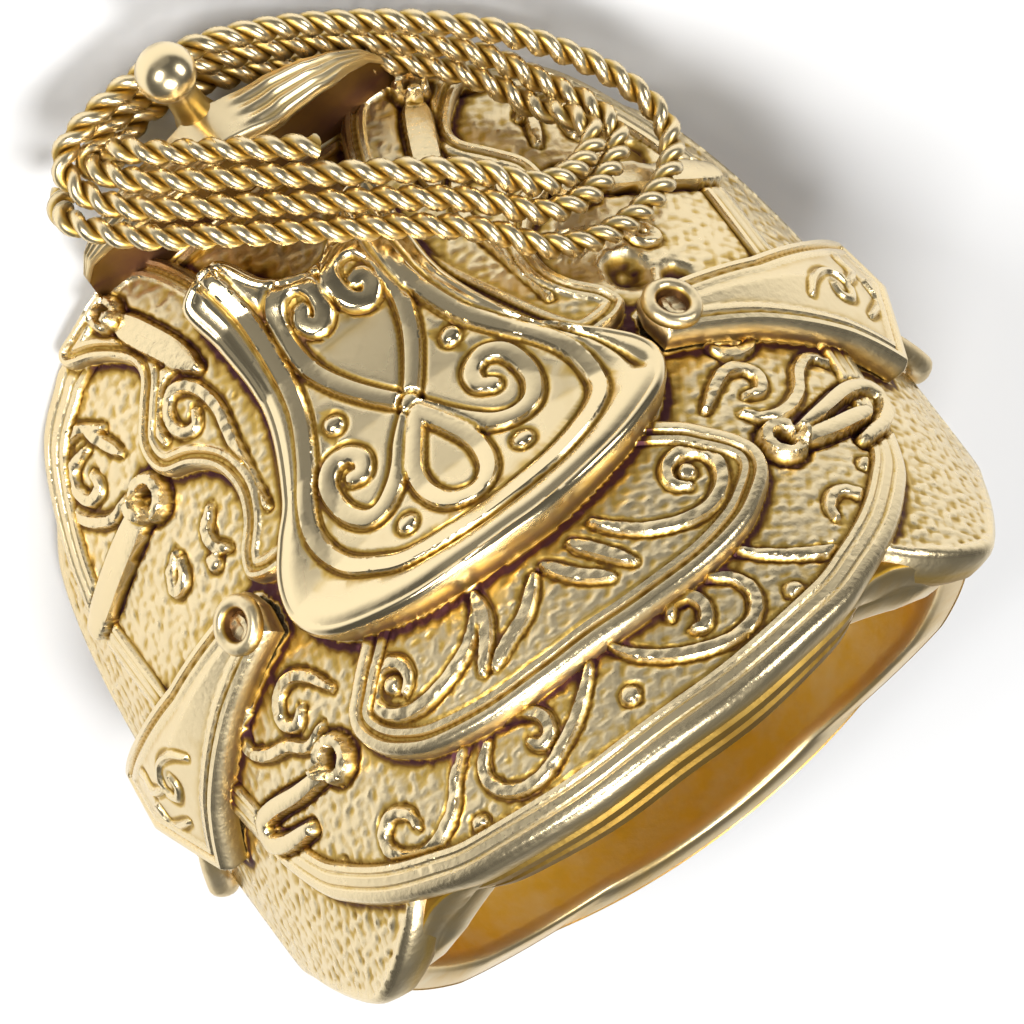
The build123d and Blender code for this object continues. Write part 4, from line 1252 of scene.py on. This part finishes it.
class RING_OT_stage(bpy.types.Operator):
    """The floor, the studio lights and the camera"""

    bl_idname = "saddle_ring.stage"
    bl_label = "Stage"

    def add_floor(self, context):
        """White paper with painted light: greyer away from the ring."""
        bpy.ops.mesh.primitive_plane_add(size=2, location=(0, 0, -0.00002))
        floor = context.object
        floor.name = "floor"
        paper = bpy.data.materials.new("paper")
        paper.use_nodes = True
        nodes, links = paper.node_tree.nodes, paper.node_tree.links
        shader = nodes["Principled BSDF"]
        shader.inputs["Roughness"].default_value = 0.9
        places = nodes.new("ShaderNodeTexCoord")
        reach = nodes.new("ShaderNodeVectorMath")
        reach.operation = "LENGTH"
        links.new(places.outputs["Object"], reach.inputs[0])
        # Painted light: the floor's grey is brightest round the ring and falls off away from it.
        painted_light_pool = nodes.new("ShaderNodeValToRGB")
        painted_light_pool.color_ramp.elements.new(0.5)
        stops = ((0.036, 0.66), (0.07, 0.36), (0.13, 0.26))
        for element, (place, grey) in zip(painted_light_pool.color_ramp.elements, stops):
            element.position = place
            element.color = (grey, grey, grey, 1)
        links.new(reach.outputs["Value"], painted_light_pool.inputs["Fac"])
        links.new(painted_light_pool.outputs["Color"], shader.inputs["Base Color"])
        floor.data.materials.append(paper)

    def add_world(self, context):
        """A dim, even sky."""
        world =bpy.data.worlds.new("studio")
        world.use_nodes = True
        world.node_tree.nodes["Background"].inputs["Color"].default_value = (0.82, 0.84, 0.88, 1)
        world.node_tree.nodes["Background"].inputs["Strength"].default_value = 0.12
        context.scene.world = world
        context.scene.view_settings.view_transform = "Standard"

    def add_camera(self, context, target):
        """The camera, at the photo's angle to the ring."""
        side =Vector((1, 0, 0.015)).normalized()
        up = Vector((0, 0.866, 0.5))
        up = (up - up.dot(side) * side).normalized()
        towards = side.cross(up)
        turn = LAY.to_3x3() * 1000
        photo_right = turn @ (0.799 * side - 0.602 * up)
        photo_up = turn @ (0.602 * side + 0.799 * up)
        photo_back = turn @ towards
        view = bpy.data.cameras.new("camera")
        view.lens = VIEW_LENS
        view.sensor_width = 36
        view.clip_start = 0.05
        camera = bpy.data.objects.new("camera", view)
        context.collection.objects.link(camera)
        camera.matrix_world = Matrix.Translation(target + VIEW_DISTANCE * photo_back) @ Matrix((
            (photo_right.x, photo_up.x, photo_back.x, 0),
            (photo_right.y, photo_up.y, photo_back.y, 0),
            (photo_right.z, photo_up.z, photo_back.z, 0),
            (0, 0, 0, 1),
        ))
        context.scene.camera = camera

    def add_lamps(self, context, target):
        for name, (way, width, power) in LAMPS.items():
            lamp = bpy.data.lights.new(name, "AREA")
            lamp.shape = "RECTANGLE"
            lamp.size = width
            lamp.size_y = 0.6 * width
            lamp.energy = power * settings().light
            holder = bpy.data.objects.new(name, lamp)
            context.collection.objects.link(holder)
            place = target + Vector(way).normalized() * LAMP_DISTANCE
            holder.location = place
            holder.rotation_euler = (target - place).to_track_quat("-Z", "Y").to_euler()

    def execute(self, context):
        deselect()
        target = LAY @ Vector(VIEW_TARGET)
        self.add_floor(context)
        self.add_world(context)
        self.add_camera(context, target)
        self.add_lamps(context, target)
        return {"FINISHED"}


class RING_PT_panel(bpy.types.Panel):
    """Lists the pieces of the ring"""

    bl_idname = "RING_PT_panel"
    bl_label = "Saddle ring"
    bl_space_type = "VIEW_3D"
    bl_region_type = "UI"
    bl_category = "Saddle ring"

    def draw(self, context):
        for name in RingSettings.__annotations__:
            self.layout.prop(settings(), name)
        for operator in OPERATORS:
            self.layout.operator(operator.bl_idname)


OPERATORS = (
    RING_OT_core, RING_OT_blanket, RING_OT_skirt, RING_OT_jockeys, RING_OT_seat, RING_OT_fork, RING_OT_fenders,
    RING_OT_rivets, RING_OT_lasso, RING_OT_stage,
)
CLASSES = (RingSettings, *OPERATORS, RING_PT_panel)


def register():
    for item in CLASSES:
        bpy.utils.register_class(item)
    bpy.types.Scene.saddle_ring = bpy.props.PointerProperty(type=RingSettings)


def unregister():
    del bpy.types.Scene.saddle_ring
    for item in reversed(CLASSES):
        bpy.utils.unregister_class(item)


def main():
    register()
    bpy.ops.saddle_ring.core()
    bpy.ops.saddle_ring.blanket()
    bpy.ops.saddle_ring.skirt()
    bpy.ops.saddle_ring.jockeys()
    bpy.ops.saddle_ring.seat()
    bpy.ops.saddle_ring.fork()
    bpy.ops.saddle_ring.fenders()
    bpy.ops.saddle_ring.rivets()
    bpy.ops.saddle_ring.lasso()
    bpy.ops.saddle_ring.stage()


if __name__ == "__main__":
    main()
